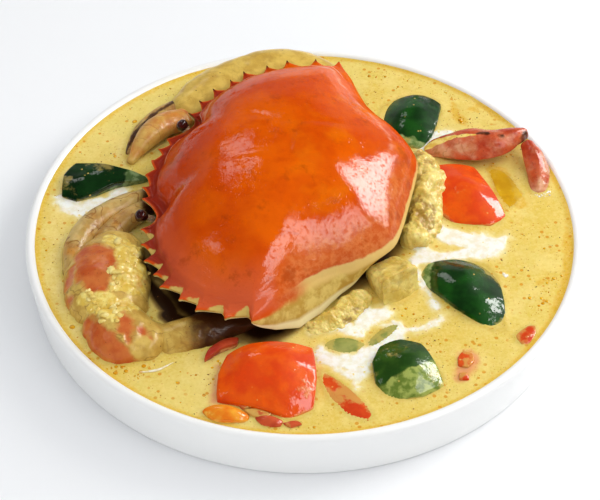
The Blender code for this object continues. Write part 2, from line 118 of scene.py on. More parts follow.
def layers(points, size, seed=0, count=4, keep=0.5):
    """Noise of several sizes added up: each is half as large and keep times as strong."""
    return sum(keep**i * noise(points, size / 2**i, seed + 7 * i) for i in range(count))


def pebbles(points, size, seed=0):
    """Rounded lumps: 1 at scattered points about size apart, falling to 0 between them.

    Each cell of a lattice holds one point, moved about at random. The height is one less the
    squared distance to the nearest of the 27 points round a place.
    """
    place = np.asarray(points, float) / size
    cell = np.floor(place)
    nearest_square = np.full(place.shape[:-1], 9.0)
    for step in np.ndindex(3, 3, 3):
        there = cell + step - 1
        point = np.stack([there[..., i] + 0.5 + 0.42 * lattice(there, seed + i) for i in range(3)], -1)
        nearest_square = np.minimum(nearest_square, ((place - point) ** 2).sum(-1))
    return np.clip(1 - nearest_square / 0.6, 0, 1)


sample = noise(np.random.default_rng(1).random((999, 3)) * 9, 1.0)
print("noise spans", sample.min().round(2), "to", sample.max().round(2))

# %% [markdown]
# ## Surfaces from rings
#
# A shell, a claw and a slice of pepper all have one thing in common: each can be skinned over
# a stack of closed rings. So one helper turns an array of rings into a closed mesh. It joins
# each ring to the next with four-sided faces, closes both ends on a middle point, and turns
# the faces round if the enclosed volume comes out negative, so that they always point out.

# %% Ring surfaces
def outward(rings):
    """The normal at each ring point: the cross product of the ways round and along."""
    around = np.roll(rings, -1, 1) - np.roll(rings, 1, 1)
    normal = np.cross(around, np.gradient(rings, axis=0))
    if ((rings - rings.mean((0, 1))) * normal).sum() < 0:
        normal = -normal
    return normal / np.maximum(np.linalg.norm(normal, axis=-1, keepdims=True), 1e-9)


def raised(rings, height):
    """The rings moved out along their normals by a height for each point."""
    return rings + outward(rings) * np.asarray(height)[..., None]


def face_lists(rings):
    """The four-sided faces between the rings and the two fans that close the ends."""
    levels, sides = rings.shape[:2]
    here = np.arange(levels * sides).reshape(levels, sides)
    there = np.roll(here, -1, axis=1)
    quads = np.stack([here[:-1], there[:-1], there[1:], here[1:]], -1).reshape(-1, 4)
    first = np.stack([there[0], here[0], np.full(sides, levels * sides)], -1)
    last = np.stack([here[-1], there[-1], np.full(sides, levels * sides + 1)], -1)
    return quads, np.vstack([first, last])


def volume(points, triangles):
    """Six times the enclosed volume: the sum of each triangle's triple product."""
    a, b, c = (points[triangles[:, i]] for i in range(3))
    return (a * np.cross(b, c)).sum()


def new_object(name, points, faces, masks, material):
    """A smooth-shaded mesh object with one attribute for each named mask."""
    mesh = bpy.data.meshes.new(name)
    mesh.from_pydata((points * MM).tolist(), [], faces)
    for mask, values in masks.items():
        attribute = mesh.attributes.new(mask, "FLOAT", "POINT")
        attribute.data.foreach_set("value", np.asarray(values, np.float32).ravel())
    mesh.shade_smooth()
    mesh.materials.append(material)
    made = bpy.data.objects.new(name, mesh)
    bpy.context.scene.collection.objects.link(made)
    return made


def finish_piece(made, nodes=()):
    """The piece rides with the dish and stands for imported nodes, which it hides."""
    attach(made, "root")
    if nodes:
        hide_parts(*nodes)
    return made


def skin(name, rings, material, slot, nodes=(), **masks):
    """A closed piece skinned over rings, in millimetres, with a mask value for each point."""
    rings = np.asarray(rings, float)
    points = np.vstack([rings.reshape(-1, 3), rings[0].mean(0), rings[-1].mean(0)])
    quads, fans = face_lists(rings)
    triangles = np.vstack([quads[:, :3], quads[:, [0, 2, 3]], fans])
    if volume(points, triangles) < 0:
        quads, fans = quads[:, ::-1], fans[:, ::-1]
    values = {mask: np.append(v, [np.mean(v[0]), np.mean(v[-1])]) for mask, v in masks.items()}
    made = new_object(name, points, quads.tolist() + fans.tolist(), values, material)
    print(f"{name}: {len(triangles)} triangles")
    return finish_piece(made, nodes)


# %% [markdown]
# ## Where a piece goes
#
# Each fine piece is worked out in the dish's own millimetres and then lined up with the box
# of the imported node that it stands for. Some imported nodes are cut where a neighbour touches
# them. On each axis the two ends then ask for different moves, and the smaller one comes from
# the end that wasn't cut, so that is the one to follow.

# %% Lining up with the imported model
SAME_SIZE = 1.5


def box_of(node):
    """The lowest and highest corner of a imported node, in millimetres."""
    low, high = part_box(node)
    return np.array(low) / MM, np.array(high) / MM


def seat(rings, node):
    """Moves rings to a node's box: fitted to it where the sizes agree, else by its uncut end."""
    low, high = box_of(node)
    to_low, to_high = low - rings.min((0, 1)), high - rings.max((0, 1))
    nearer = np.where(abs(to_low) < abs(to_high), to_low, to_high)
    own_low, own_size = rings.min((0, 1)), np.ptp(rings, axis=(0, 1))
    fitted = low + (rings - own_low) * (high - low) / own_size
    print(f"{node}: moved by", nearer.round(1).tolist(), "mm")
    return np.where(abs(to_high - to_low) < SAME_SIZE, fitted, rings + nearer)


DISH_RADIUS, _, DISH_HEIGHT = box_of("dish")[1]
SAUCE_LEVEL = box_of("sauce")[1][2]
print("dish radius and height:", DISH_RADIUS.round(1), DISH_HEIGHT.round(1))
print("sauce level:", SAUCE_LEVEL.round(1))

# %% [markdown]
# ## A short way to write materials
#
# A finish is a small network of nodes. Written out in full it is long and hard to read, so
# one class holds a material and adds a node with each call, handing back the value that the
# next call uses. Values can be added, subtracted and multiplied like numbers, and each sign
# adds a Math node. Patterns read Object coordinates, which stay with the piece, and masks are
# read from the mesh.

# %% The finish helper
def rgb(red, green, blue):
    """A display colour, 0 to 255 a channel, as the linear colour that a shader takes."""
    display = np.array([red, green, blue]) / 255
    linear = np.where(display <= 0.04045, display / 12.92, ((display + 0.055) / 1.055) ** 2.4)
    return (*linear.tolist(), 1.0)


class Value:
    """A number or colour that changes over a surface: a node's output, with arithmetic."""

    def __init__(self, finish, socket):
        self.finish, self.socket = finish, socket

    def __add__(self, other):
        return self.finish.math("ADD", self, other)

    def __sub__(self, other):
        return self.finish.math("SUBTRACT", self, other)

    def __mul__(self, other):
        return self.finish.math("MULTIPLY", self, other)

    def __abs__(self):
        return self.finish.math("ABSOLUTE", self)

    def painted(self, share, red, green, blue):
        """This colour with another one over it, as thick as share says, from 0 to 1."""
        return self.finish.blend(share, self, rgb(red, green, blue))


class Finish:
    """One material: each method adds a node to it and returns that node's output as a value."""

    def __init__(self, name, **settings):
        self.material = bpy.data.materials.new(name)
        self.material.use_nodes = True
        self.tree = self.material.node_tree
        self.shader = self.tree.nodes["Principled BSDF"]
        self.place = self.add("TexCoord", {}, "Object")
        for socket, value in settings.items():
            self.shader.inputs[socket.replace("_", " ")].default_value = value

    def add(self, kind, inputs, output, **settings):
        """One output of a new node: settings go by name, sockets by name or number."""
        made = self.tree.nodes.new("ShaderNode" + kind)
        for setting, value in settings.items():
            setattr(made, setting, value)
        for socket, value in inputs.items():
            if isinstance(value, Value):
                self.tree.links.new(value.socket, made.inputs[socket])
            else:
                made.inputs[socket].default_value = value
        return Value(self, made.outputs[output])

    def mask(self, name):
        """A mask painted on the mesh."""
        return self.add("Attribute", {}, "Fac", attribute_name=name)

    def noise(self, size, detail=3.0, rough=0.55, twist=0.0, stretch=None):
        """Noise with features about size millimetres across, stretched along X, Y and Z."""
        place = self.place
        if stretch:
            place = self.add("Mapping", {"Vector": place, "Scale": stretch}, "Vector")
        inputs = {"Vector": place, "Scale": 1 / (size * MM), "Detail": detail, "Roughness": rough}
        return self.add("TexNoise", {**inputs, "Distortion": twist}, "Fac")

    def cells(self, size):
        """Distance to the nearest of many scattered points, about size millimetres apart."""
        return self.add("TexVoronoi", {"Vector": self.place, "Scale": 1 / (size * MM)}, "Distance")

    def step(self, value, low, high):
        """0 below low, 1 above high and smooth between; low above high turns it round."""
        inputs = {"Value": value, "From Min": low, "From Max": high}
        return self.add("MapRange", inputs, "Result", interpolation_type="SMOOTHSTEP")

    def patches(self, size, detail, low, high, rough=0.55):
        """Noise cut to patches: 0 where it is below low, 1 where it is above high."""
        return self.step(self.noise(size, detail, rough), low, high)

    def dots(self, apart, edge, core, where):
        """Dots: 0 past edge and 1 inside core, kept only in patches of (size, low, high)."""
        size, low, high = where
        return self.step(self.cells(apart), edge, core) * self.patches(size, 2, low, high)

    def math(self, operation, a, b=0.0):
        """Simple arithmetic on two values."""
        return self.add("Math", {0: a, 1: b}, 0, operation=operation)

    def blend(self, share, a, b):
        """Colour a where share is 0 and b where it is 1."""
        return self.add("Mix", {0: share, 6: a, 7: b}, 2, data_type="RGBA")

    def mottled(self, first, second, size, detail, low, high, rough=0.55):
        """Two colours in patches, the second where the noise is above high."""
        return self.blend(self.patches(size, detail, low, high, rough), rgb(*first), rgb(*second))

    def feed(self, socket, value):
        """Links a value to one of the shader's inputs."""
        self.tree.links.new(value.socket, self.shader.inputs[socket])

    def relief(self, *heights):
        """Bumps from (value, millimetres high) pairs, one on top of the other."""
        normal = None
        for value, height in heights:
            inputs = {"Height": value, "Distance": height * MM}
            if normal:
                inputs["Normal"] = normal
            normal = self.add("Bump", inputs, "Normal")
        self.feed("Normal", normal)
        self.feed("Coat Normal", normal)


print("finish helper ready")
# %% [markdown]
# ## The dish
#
# A low, straight-walled dish of white glazed stoneware. It is a turned shape, so its surface
# is a profile of radius and height carried round a circle. The rim and the heel are round
# arcs, and glaze is never quite even, so its finish gets faint waves and a few dried specks.

# %% The dish's surface
DISH_WALL = 4.0
DISH_FLOOR = 4.5
HEEL_INSET = 2.0
HEEL_RADIUS = 1.5
INNER_FILLET = 6.0
WALL_DRAFT = 1.5


def arc(centre, radius, start, end, count):
    """Points of an arc, with its angles in degrees."""
    angles = np.radians(np.linspace(start, end, count))
    return np.stack([centre[0] + radius * np.cos(angles), centre[1] + radius * np.sin(angles)], 1)


def turn(profile, steps):
    """Carries a profile of (radius, height) round Z: one ring of points for each profile point."""
    angles = np.linspace(0, 2 * np.pi, steps, endpoint=False)
    radius, height = np.asarray(profile).T
    rings = [np.outer(radius, np.cos(angles)), np.outer(radius, np.sin(angles))]
    return np.stack([*rings, np.repeat(height[:, None], steps, 1)], -1)


inner_foot = DISH_RADIUS - DISH_WALL - WALL_DRAFT
fillet_centre = (inner_foot - INNER_FILLET, DISH_FLOOR + INNER_FILLET)
rim = DISH_WALL / 2
heel = DISH_RADIUS - HEEL_INSET - HEEL_RADIUS
dish_profile = np.vstack([
    [(1.0, DISH_FLOOR)],
    arc(fillet_centre, INNER_FILLET, -90, 0, 12),
    arc((DISH_RADIUS - rim, DISH_HEIGHT - rim), rim, 180, 0, 22),
    arc((heel, HEEL_RADIUS), HEEL_RADIUS, 0, -90, 9),
    [(heel - 4.0, 0.0), (1.0, 0.0)],
])

# %% White glaze
glaze = Finish("white_glaze", Roughness=0.32, Coat_Weight=0.35, Coat_Roughness=0.16)
cloud = glaze.noise(28, 2)
tint = glaze.blend(cloud, rgb(249, 249, 247), rgb(243, 244, 244))
fleck = glaze.step(glaze.cells(9), 0.045, 0.02)
fleck = fleck * glaze.patches(40, 1, 0.56, 0.66)
glaze.feed("Base Color", tint.painted(fleck, 214, 196, 140))
glaze.relief((glaze.noise(9, 2), 0.05), (glaze.noise(0.6, 1), 0.004))

skin("serving_dish", turn(dish_profile, 288), glaze.material, "white_glaze", ["dish"])

# %% [markdown]
# ## Coconut cream and oil on the sauce
#
# The sauce is mostly one colour, but it carries white coconut cream in patches and drawn-out
# streaks, and pools of orange oil. Each patch is a stroke: a short path with a width at each
# point. The distance to the nearest stroke, roughened with noise, is kept on the mesh as a
# smooth number. The finish then cuts it off at zero, which gives edges much finer than the
# mesh. Painting the colours themselves on the mesh would have blurred them.

# %% Strokes
CREAM = [
    [
        (49, 0.5, 1.5), (54, -2.5, 3.5), (61, -6.0, 4.2), (69, -8.0, 4.2), (76, -8.5, 3.0),
        (79.5, -5.5, 1.2),
    ],
    [
        (44, -9.5, 2.0), (50, -15.5, 3.0), (58, -16.0, 3.4), (66, -14.0, 3.2), (73, -13.5, 3.0),
        (78, -11, 1.5),
    ],
    [
        (46, -16, 2.5), (42.8, -21, 2.2), (43.0, -26, 1.6), (46.2, -32.5, 1.0), (48.6, -38, 1.0),
        (50.5, -43, 0.7),
    ],
    [(47.5, 44, 1.0), (51, 49, 2.6), (55.5, 53, 3.6), (60, 56, 2.2)],
    [(21.5, -53, 2.5), (25, -48.5, 4.0), (30, -46.0, 3.2)],
    [(3.2, -56.6, 0.5), (8, -54.6, 1.5), (14, -53.4, 2.4), (20, -56, 2.2)],
    [
        (30, -52.6, 1.2), (35.5, -53.0, 0.8), (40, -54.6, 0.8), (45, -53.4, 0.9), (50.5, -50.0, 0.7),
        (52, -48.6, 0.3),
    ],
    [(33.5, -50.5, 0.4), (35.5, -54.5, 2.6), (33.5, -58.5, 2.6), (28, -63.5, 2.0), (23.4, -67, 3.4)],
    [(4.8, -63.5, 0.6), (8, -69.3, 1.8), (14, -71.5, 3.4), (20.5, -71.5, 4.2)],
    [
        (12.5, -75.5, 2.0), (17.5, -77.0, 2.6), (22.0, -74.5, 1.6), (19.2, -79.5, 1.0),
        (19.2, -84.5, 0.8),
    ],
    [
        (-99.0, 17.8, 1.4), (-94.6, 13.6, 3.4), (-90, 9.0, 2.8), (-84.5, 11.8, 3.8), (-79, 14.8, 3.4),
        (-73.6, 21.4, 1.6),
    ],
    [(-92.6, 9.4, 1.8), (-89.8, 5.6, 1.0)],
]
OIL = [
    [(76.5, 35.5, 2.8), (80, 28.5, 5.0), (82, 20, 5.6), (86.5, 14.2, 4.2)],
    [(63.2, 75, 1.6), (64.2, 70, 2.6), (66.4, 63.6, 2.5)],
    [(70.4, 71.6, 2.1), (73.4, 70.2, 1.9)],
    [(72.6, 75.0, 2.0), (78.2, 71.0, 3.0), (83.6, 65.4, 2.4)],
    [(34, 99.5, 0.8), (44, 96.4, 1.6), (54, 91.4, 1.5), (62, 85.8, 1.0)],
    [
        (99.5, 34, 0.6), (103.2, 20, 1.2), (103.8, 2, 1.6), (102.4, -20, 1.8), (98.5, -37, 2.6),
        (91, -53, 1.8), (84, -64, 2.2),
    ],
    [(90.4, -30.0, 1.2), (97.4, -27.4, 1.6)],
]
# Strokes where the sauce is painted in shade, in the gap between the near claw and the shell.
SHADED = [
    [(-60, -29, 2.0), (-56.2, -36.1, 3.8), (-52.8, -41.4, 4.2), (-50, -46, 3.4)],
    [(-52, -47, 4.0), (-46, -51.5, 5.0), (-40, -55, 4.2)],
]
BLUSH = [
    [(60.8, -69.5, 3.6), (58.6, -75.5, 2.6), (57.7, -78.4, 2.0)],
    [(-31.5, -74, 0.6), (-32.5, -84, 0.9), (-33, -90, 0.6)],
]


def stroke_depth(points, strokes):
    """How far inside the nearest stroke each point is: the width there less the distance to it."""
    best = np.full(len(points), -99.0)
    for stroke in strokes:
        path = smooth(stroke, 12 * len(stroke))
        for start in range(0, len(points), 20000):
            part = slice(start, start + 20000)
            away = np.linalg.norm(points[part, None, :2] - path[None, :, :2], axis=-1)
            best[part] = np.maximum(best[part], (path[None, :, 2] - away).max(1))
    return best


# %% [markdown]
# ## The sauce
#
# The surface of a thick sauce is level but never flat. It creeps up a little at the wall of
# the dish and at everything that stands in it, and cream lies on it as a low raised film. The
# surface is worked out on rings round the dish's middle, and each point's height is a sum of
# these effects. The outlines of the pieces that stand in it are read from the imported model.

# %% Where things stand in the sauce
def outline_at(node, height):
    """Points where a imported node's edges cross a level: each edge with ends above and below it."""
    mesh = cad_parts[node].data
    ends = np.empty(len(mesh.edges) * 2, np.int32)
    mesh.edges.foreach_get("vertices", ends)
    place = np.empty(len(mesh.vertices) * 3, np.float32)
    mesh.vertices.foreach_get("co", place)
    a, b = (place.reshape(-1, 3)[ends.reshape(-1, 2)[:, i]] / MM for i in (0, 1))
    crossing = (a[:, 2] < height) != (b[:, 2] < height)
    a, b = a[crossing], b[crossing]
    share = (height - a[:, 2:]) / (b[:, 2:] - a[:, 2:])
    return (a + share * (b - a))[:, :2]


def closed_outline(points, spacing=1.0):
    """The same points in order round their middle, filled in to an even spacing."""
    middle = points.mean(0)
    order = np.argsort(np.arctan2(*(points - middle).T[::-1]))
    ring = points[order]
    following = np.roll(ring, -1, 0)
    steps = np.maximum(1, (np.linalg.norm(following - ring, axis=1) / spacing).astype(int))
    return np.vstack([
        a + (b - a) * np.linspace(0, 1, count, endpoint=False)[:, None]
        for a, b, count in zip(ring, following, steps)
    ])


standing = []
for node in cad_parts:
    if node not in ("dish", "sauce", "carapace", "eye_far", "eye_near"):
        crossing = outline_at(node, SAUCE_LEVEL - 0.05)
        if len(crossing) > 3:
            standing.append(closed_outline(crossing))
standing = np.vstack(standing)
print("outline points round what stands in the sauce:", len(standing))


def nearest(points, others):
    """Distance in plan from each point to the nearest of some others."""
    found = np.empty(len(points))
    for start in range(0, len(points), 8000):
        part = slice(start, start + 8000)
        away = points[part, None, :2] - others[None, :, :2]
        found[part] = np.sqrt((away**2).sum(-1).min(1))
    return found


# %% In under the back shell
shell_points = np.empty(len(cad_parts["carapace"].data.vertices) * 3, np.float32)
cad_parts["carapace"].data.vertices.foreach_get("co", shell_points)
shell_points = shell_points.reshape(-1, 3)[:, :2] / MM
shell_middle = (shell_points.min(0) + shell_points.max(0)) / 2
SHELL_SECTORS = 60
turns = np.arctan2(*(shell_points - shell_middle).T[::-1])
sizes = np.linalg.norm(shell_points - shell_middle, axis=1)
sector = np.round(turns / (2 * np.pi) * SHELL_SECTORS) % SHELL_SECTORS
outermost = np.array(
    [[k * 2 * np.pi / SHELL_SECTORS, sizes[sector == k].max()] for k in np.unique(sector)]
)


def under_shell(points):
    """How far in under the back shell each point is, in plan; negative outside it."""
    away = points[..., :2] - shell_middle
    turn_here = np.arctan2(away[..., 1], away[..., 0])
    size = np.interp(turn_here, outermost[:, 0], outermost[:, 1], period=2 * np.pi)
    return size - np.linalg.norm(away, axis=-1)


# %% The sauce's surface
SAUCE_TURNS = 640
INTO_WALL = 0.35
CREEP_AT_PIECES, CREEP_REACH = 0.75, 1.1
CREEP_AT_WALL, WALL_REACH = 0.6, 0.9
CREAM_STANDS = 0.28
OIL_SINKS = 0.08
wall_at_level = inner_foot + WALL_DRAFT * (SAUCE_LEVEL - fillet_centre[1]) / (
    DISH_HEIGHT - rim - fillet_centre[1]
)
outer = wall_at_level + INTO_WALL
radii = np.concatenate(
    [np.linspace(2, 30, 12), np.linspace(31, outer - 3.2, 96), np.linspace(outer - 2.6, outer, 10)]
)
sauce_top = turn(np.stack([radii, np.full(len(radii), SAUCE_LEVEL)], 1), SAUCE_TURNS)
flat = sauce_top.reshape(-1, 3)

cream = stroke_depth(flat, CREAM) + 0.5 + 1.2 * layers(flat, 7, 3, 3) + 0.5 * layers(flat, 1.6, 5, 2)
oil = stroke_depth(flat, OIL) + 1.3 * layers(flat, 8, 11, 3)
to_piece = nearest(flat, standing)
to_wall = wall_at_level - np.hypot(flat[:, 0], flat[:, 1])
height = 0.10 * layers(flat, 26, 21, 2) + 0.05 * layers(flat, 5, 22, 2)
height += CREEP_AT_PIECES * np.exp(-to_piece / CREEP_REACH)
height += CREEP_AT_WALL * np.exp(-np.maximum(to_wall, 0) / WALL_REACH)
height += CREAM_STANDS * ramp(cream, -0.6, 1.2) - OIL_SINKS * ramp(oil, -0.5, 1.0)
sauce_top[..., 2] += height.reshape(len(radii), SAUCE_TURNS)

floor_profile = np.vstack(
    [arc(fillet_centre, INNER_FILLET + INTO_WALL, 0, -90, 6), [(4.0, DISH_FLOOR - 0.3)]]
)
sauce_rings = np.concatenate([sauce_top, turn(floor_profile, SAUCE_TURNS)])
below = np.full((len(floor_profile), SAUCE_TURNS), -9.0)
shape = (len(radii), SAUCE_TURNS)
# Painted shade: the mask "under" is deepest in under the back shell on the near side and along the
# SHADED strokes.
near_side = ramp(-flat[:, 1], -20, 10)
under = np.maximum(
    under_shell(flat) * near_side - 8.0 * (1 - near_side), 3.0 * stroke_depth(flat, SHADED)
)
blush = stroke_depth(flat, BLUSH) + 0.8 * layers(flat, 4, 15, 3)
sauce_masks = {
    "under": np.concatenate([under.reshape(shape), below]),
    "blush": np.concatenate([blush.reshape(shape), below]),
    "cream": np.concatenate([cream.reshape(shape), below]),
    "oil": np.concatenate([oil.reshape(shape), below]),
    "piece": np.concatenate([to_piece.reshape(shape), below + 29]),
    "wall": np.concatenate([to_wall.reshape(shape), below + 29]),
}
print("sauce relief in mm:", height.min().round(2), "to", height.max().round(2))

# %% [markdown]
# ## The sauce's finish
#
# Yellow curry is ground spice in coconut milk. Close up it is a pale mustard ground with
# clouds of more and less milk, very fine orange and brown grains, and small beads of oil.
# The base colours are mixed by noise of several sizes, the grains come from cells cut off
# close to their points, and some light is let under the surface, because milk scatters it.

# %% Curry sauce
curry = Finish(
    "curry_sauce", Roughness=0.4, Specular_IOR_Level=0.25, Coat_Weight=0.3, Coat_Roughness=0.08,
    Subsurface_Weight=0.3, Subsurface_Scale=0.002,
)
curry.shader.inputs["Subsurface Radius"].default_value = (1.0, 0.6, 0.25)
ground = curry.mottled((229, 207, 114), (223, 192, 80), 42, 3, 0.34, 0.66)
ground = ground.painted(curry.patches(8, 4, 0.42, 0.72) * 0.8, 235, 211, 120)
curdle = curry.patches(3.4, 5, 0.55, 0.75, rough=0.65) * 0.4
ground = ground.painted(curdle, 240, 222, 148)
rim_stain = curry.step(curry.mask("wall") + curry.noise(5, 4) * 2.2, 3.6, 1.2)
ground = ground.painted(rim_stain * 0.8, 226, 178, 16)

# %% Pools of oil, milk and grains of spice
pool = curry.mask("oil") + (curry.noise(2.0, 5, 0.65) - 0.5) * 6.0
pool = curry.step(pool, 0.0, 1.4)
ground = ground.painted(pool * 0.8, 220, 170, 14)
milk = curry.patches(1.0, 4, 0.34, 0.66, rough=0.7)
ground = ground.painted(milk * 0.3, 246, 228, 150)
grain = curry.step(curry.cells(1.3), 0.25, 0.10)
grain = grain * curry.patches(5, 2, 0.42, 0.6)
ground = ground.painted(grain * 0.8, 196, 132, 14)
amber_dot = curry.dots(3.6, 0.24, 0.17, (12, 0.46, 0.56))
ground = ground.painted(amber_dot * 0.85, 214, 146, 4)
dark_grain = curry.step(curry.cells(2.6), 0.1, 0.05) * 0.55
dark_grain = dark_grain * curry.patches(9, 2, 0.4, 0.58)
ground = ground.painted(dark_grain, 112, 78, 20)

# %% Colour from the red dice, and the darker line round each piece
pink = curry.step(curry.mask("blush") + curry.noise(1.6, 3) * 1.5, -1.6, 2.2)
ground = ground.painted(pink * 0.75, 228, 140, 104)
edge = curry.step(curry.mask("piece"), 2.4, 0.1) * 0.26
ground = ground.painted(edge, 184, 148, 52)

# %% Coconut cream, thin at its edge and solid inside
rough_film = (curry.noise(3.4, 5, 0.62, 0.4) - 0.5) * 3.6
film = curry.mask("cream") + rough_film
thin_film = curry.step(film, -2.6, 0.8) * 0.6
solid_film = curry.step(film, -0.5, 1.3)
ground = ground.painted(thin_film, 243, 232, 176)
cream_tone = curry.mottled((238, 232, 208), (247, 246, 238), 3.0, 4, 0.35, 0.6, rough=0.6)
fat = curry.dots(3.2, 0.2, 0.14, (6, 0.5, 0.58))
swirl = curry.step(curry.noise(5.5, 4, 0.6, 1.2), 0.6, 0.7) * 0.7
cream_tone = cream_tone.painted(curry.math("MAXIMUM", fat, swirl), 240, 216, 96)
ground = curry.blend(solid_film, ground, cream_tone)

# %% Painted shade in under the shell, and the finished surface
# Painted shade: the sauce turns brown in under the shell and near black in the gap by the near claw.
painted_shade = curry.mask("under") + curry.noise(5, 3) * 3.0
ground = ground.painted(curry.step(painted_shade, -0.5, 4.0) * 0.8, 122, 84, 34)
curry.feed("Base Color", ground.painted(curry.step(painted_shade, 2.5, 8.0), 40, 18, 5))
curry.relief((curry.noise(2.6, 3), 0.05), (curry.noise(0.6, 2), 0.008), (solid_film, 0.10))

skin("curry_sauce_pool", sauce_rings, curry.material, "curry_sauce", ["sauce"], **sauce_masks)

# %% [markdown]
# ## The back shell
#
# A mud crab's back shell is a wide fan: a dome that falls to a thin toothed edge in front
# and at both sides, and to a short straight edge behind. It could be sculpted, but its
# outline follows a rule: a curve through the tips of the teeth, with a notch behind each tip.
# So the shell is worked out in a frame of its own, f forwards, s to its right and h up. Its
# surface has two parameters: the place round the edge, and the reach from the highest point
# to the edge. The same outline carries the side wall, the rounded foot and the inside.

# %% The shell's own frame
SHELL_YAW = math.radians(167.0)
SHELL_PITCH = math.radians(4.5)
SHELL_POLE = np.array([6.0, 0.0])
SHELL_DOME = 26.0
SHELL_WALL = 2.3
REAR_DROP = 4.5
FRONTAL_TIPS = [(62.2, 4.6), (61.5, 11.7), (59.6, 18.0)]
ORBIT = [(54.5, 22.0), (51.0, 27.0), (51.5, 31.5)]
LATERAL_TIPS = [
    (55.2, 35.4), (52.7, 43.6), (49.0, 52.0), (43.2, 58.7), (39.0, 64.8),
    (30.0, 70.0), (22.3, 74.5), (10.3, 77.0), (0.0, 76.7),
]
REAR_EDGE = [
    (-6.0, 69.0), (-10.0, 62.0), (-16.5, 52.0), (-24.0, 44.5), (-33.0, 37.8), (-41.0, 28.8),
    (-44.2, 20.0), (-44.5, 0.0),
]
SIDE_WALL = [
    (0.0, 4.5, -1.5), (12.0, 5.0, -2.0), (18.0, 6.0, -7.0), (24.0, 7.5, -10.0), (30.0, 8.5, -9.5),
    (36.0, 8.5, -4.0), (42.0, 10.0, 0.5), (50.0, 13.0, 5.0), (58.0, 13.0, 6.0), (68.0, 8.0, 3.0),
    (77.0, 1.2, -0.3),
]
TOOTH_WALL = (1.2, -0.3)
FRONT_PROFILE = [
    (0.0, 1.0), (0.25, 0.98), (0.5, 0.865), (0.7, 0.6), (0.82, 0.33), (0.91, 0.11), (1.0, 0.0)
]
REAR_PROFILE = [
    (0.0, 1.0), (0.3, 0.965), (0.5, 0.875), (0.7, 0.68), (0.85, 0.47), (0.94, 0.29), (0.98, 0.14),
    (1.0, 0.0),
]
NOTCH_PLACE = 0.25
TOOTH_STEPS = 16


def shell_to_dish(flat, height):
    """Turns points (f, s) and heights of the shell's frame to directions in the dish."""
    forward = np.array([
        math.cos(SHELL_YAW) * math.cos(SHELL_PITCH),
        math.sin(SHELL_YAW) * math.cos(SHELL_PITCH),
        -math.sin(SHELL_PITCH),
    ])
    right = np.array([math.sin(SHELL_YAW), -math.cos(SHELL_YAW), 0.0])
    up = np.cross(forward, -right)
    return flat[..., :1] * forward + flat[..., 1:] * right + np.asarray(height)[..., None] * up


# %% The toothed edge
def tooth_row(tips, depth):
    """The edge along a row of teeth: straight from tip to tip, and the notch depth behind it.

    Going back from a tip the depth grows fast to the notch and then fades more slowly to the
    next tip, each time as a power of the distance, which draws the tips out into spines.
    """
    tips = np.array(tips)
    u = np.linspace(0, 1, TOOTH_STEPS, endpoint=False)
    rows, depths = [], []
    for this, following in zip(tips[:-1], tips[1:]):
        back = 1 - u
        rows.append(this + (following - this) * u[:, None])
        near = np.clip(back / NOTCH_PLACE, 0, 1) ** 0.6
        far = np.clip(u / (1 - NOTCH_PLACE), 0, 1) ** 0.55
        depths.append(depth * np.minimum(near, far))
    rows.append(tips[-1:])
    depths.append([0.0])
    return np.vstack(rows), np.concatenate(depths)


def half_edge():
    """The right half of the edge, front to back, with notch depth and (drop, out) of the wall."""
    brow = smooth([(61.0, 0.0), FRONTAL_TIPS[0]], 6)[:-1]
    front, front_depth = tooth_row(FRONTAL_TIPS, 2.6)
    socket = smooth([FRONTAL_TIPS[-1]] + ORBIT + [LATERAL_TIPS[0]], 34)[1:-1]
    side, side_depth = tooth_row(LATERAL_TIPS, 3.9)
    rear = smooth([LATERAL_TIPS[-1]] + REAR_EDGE, 90)[1:]
    edge = np.vstack([brow, front, socket, side, rear])
    brow_depth = 1.5 * (1 - np.linspace(0, 1, len(brow)))
    depth = np.concatenate([brow_depth, front_depth, 0 * socket[:, 0], side_depth, 0 * rear[:, 0]])
    across, drop, out = np.array(SIDE_WALL).T
    wall = np.tile(TOOTH_WALL, (len(edge), 1))
    wall[-len(rear):, 0] = np.interp(rear[:, 1], across, drop)
    wall[-len(rear):, 1] = np.interp(rear[:, 1], across, out)
    return edge, depth, wall


half, half_depth, half_wall = half_edge()
edge = np.vstack([half, half[-2:0:-1] * [1, -1]])
notch = np.concatenate([half_depth, half_depth[-2:0:-1]])
wall = np.vstack([half_wall, half_wall[-2:0:-1]])
inward = SHELL_POLE - edge
inward /= np.linalg.norm(inward, axis=1)[:, None]
print("points round the shell's edge:", len(edge))

# %% The same edge with its corners rounded off
EDGE_SOFTNESS = 8.0
DOME_SOFTNESS = 22.0


def softened(edge, width):
    """A running mean round the closed edge, weighted by a bell of distance along it."""
    steps = np.linalg.norm(np.roll(edge, -1, 0) - edge, axis=1)
    along = np.concatenate([[0.0], np.cumsum(steps)[:-1]])
    apart = abs(along[:, None] - along[None, :])
    apart = np.minimum(apart, steps.sum() - apart)
    weight = np.exp(-((apart / width) ** 2)) * steps[None, :]
    return weight @ edge / weight.sum(1, keepdims=True)


soft_edge = softened(edge, EDGE_SOFTNESS)
round_edge = softened(edge, DOME_SOFTNESS)


# %% Height of the dome
def shell_height(edge, reach):
    """Height above the edge: a steeper profile in front, a rounder one behind, which also drops."""
    to_rear = ramp(edge[:, 0], 22.0, -36.0)
    dome = (1 - to_rear) * follow(FRONT_PROFILE, reach) + to_rear * follow(REAR_PROFILE, reach)
    return SHELL_DOME * dome - REAR_DROP * ramp(edge[:, 0], -5.0, -44.0) * reach**2


def dome_ring(reach):
    """One ring of the shell's outside: rounder edges far in, the real one and its teeth far out."""
    outline = round_edge + (soft_edge - round_edge) * ramp(reach, 0.35, 0.88)
    outline = outline + (edge - soft_edge) * ramp(reach, 0.8, 0.97)
    toothed = ramp(reach, 0.9, 1.0) * notch[:, None]
    flat = SHELL_POLE + (outline - SHELL_POLE) * reach + inward * toothed
    return flat, shell_height(soft_edge, np.full(len(edge), reach))


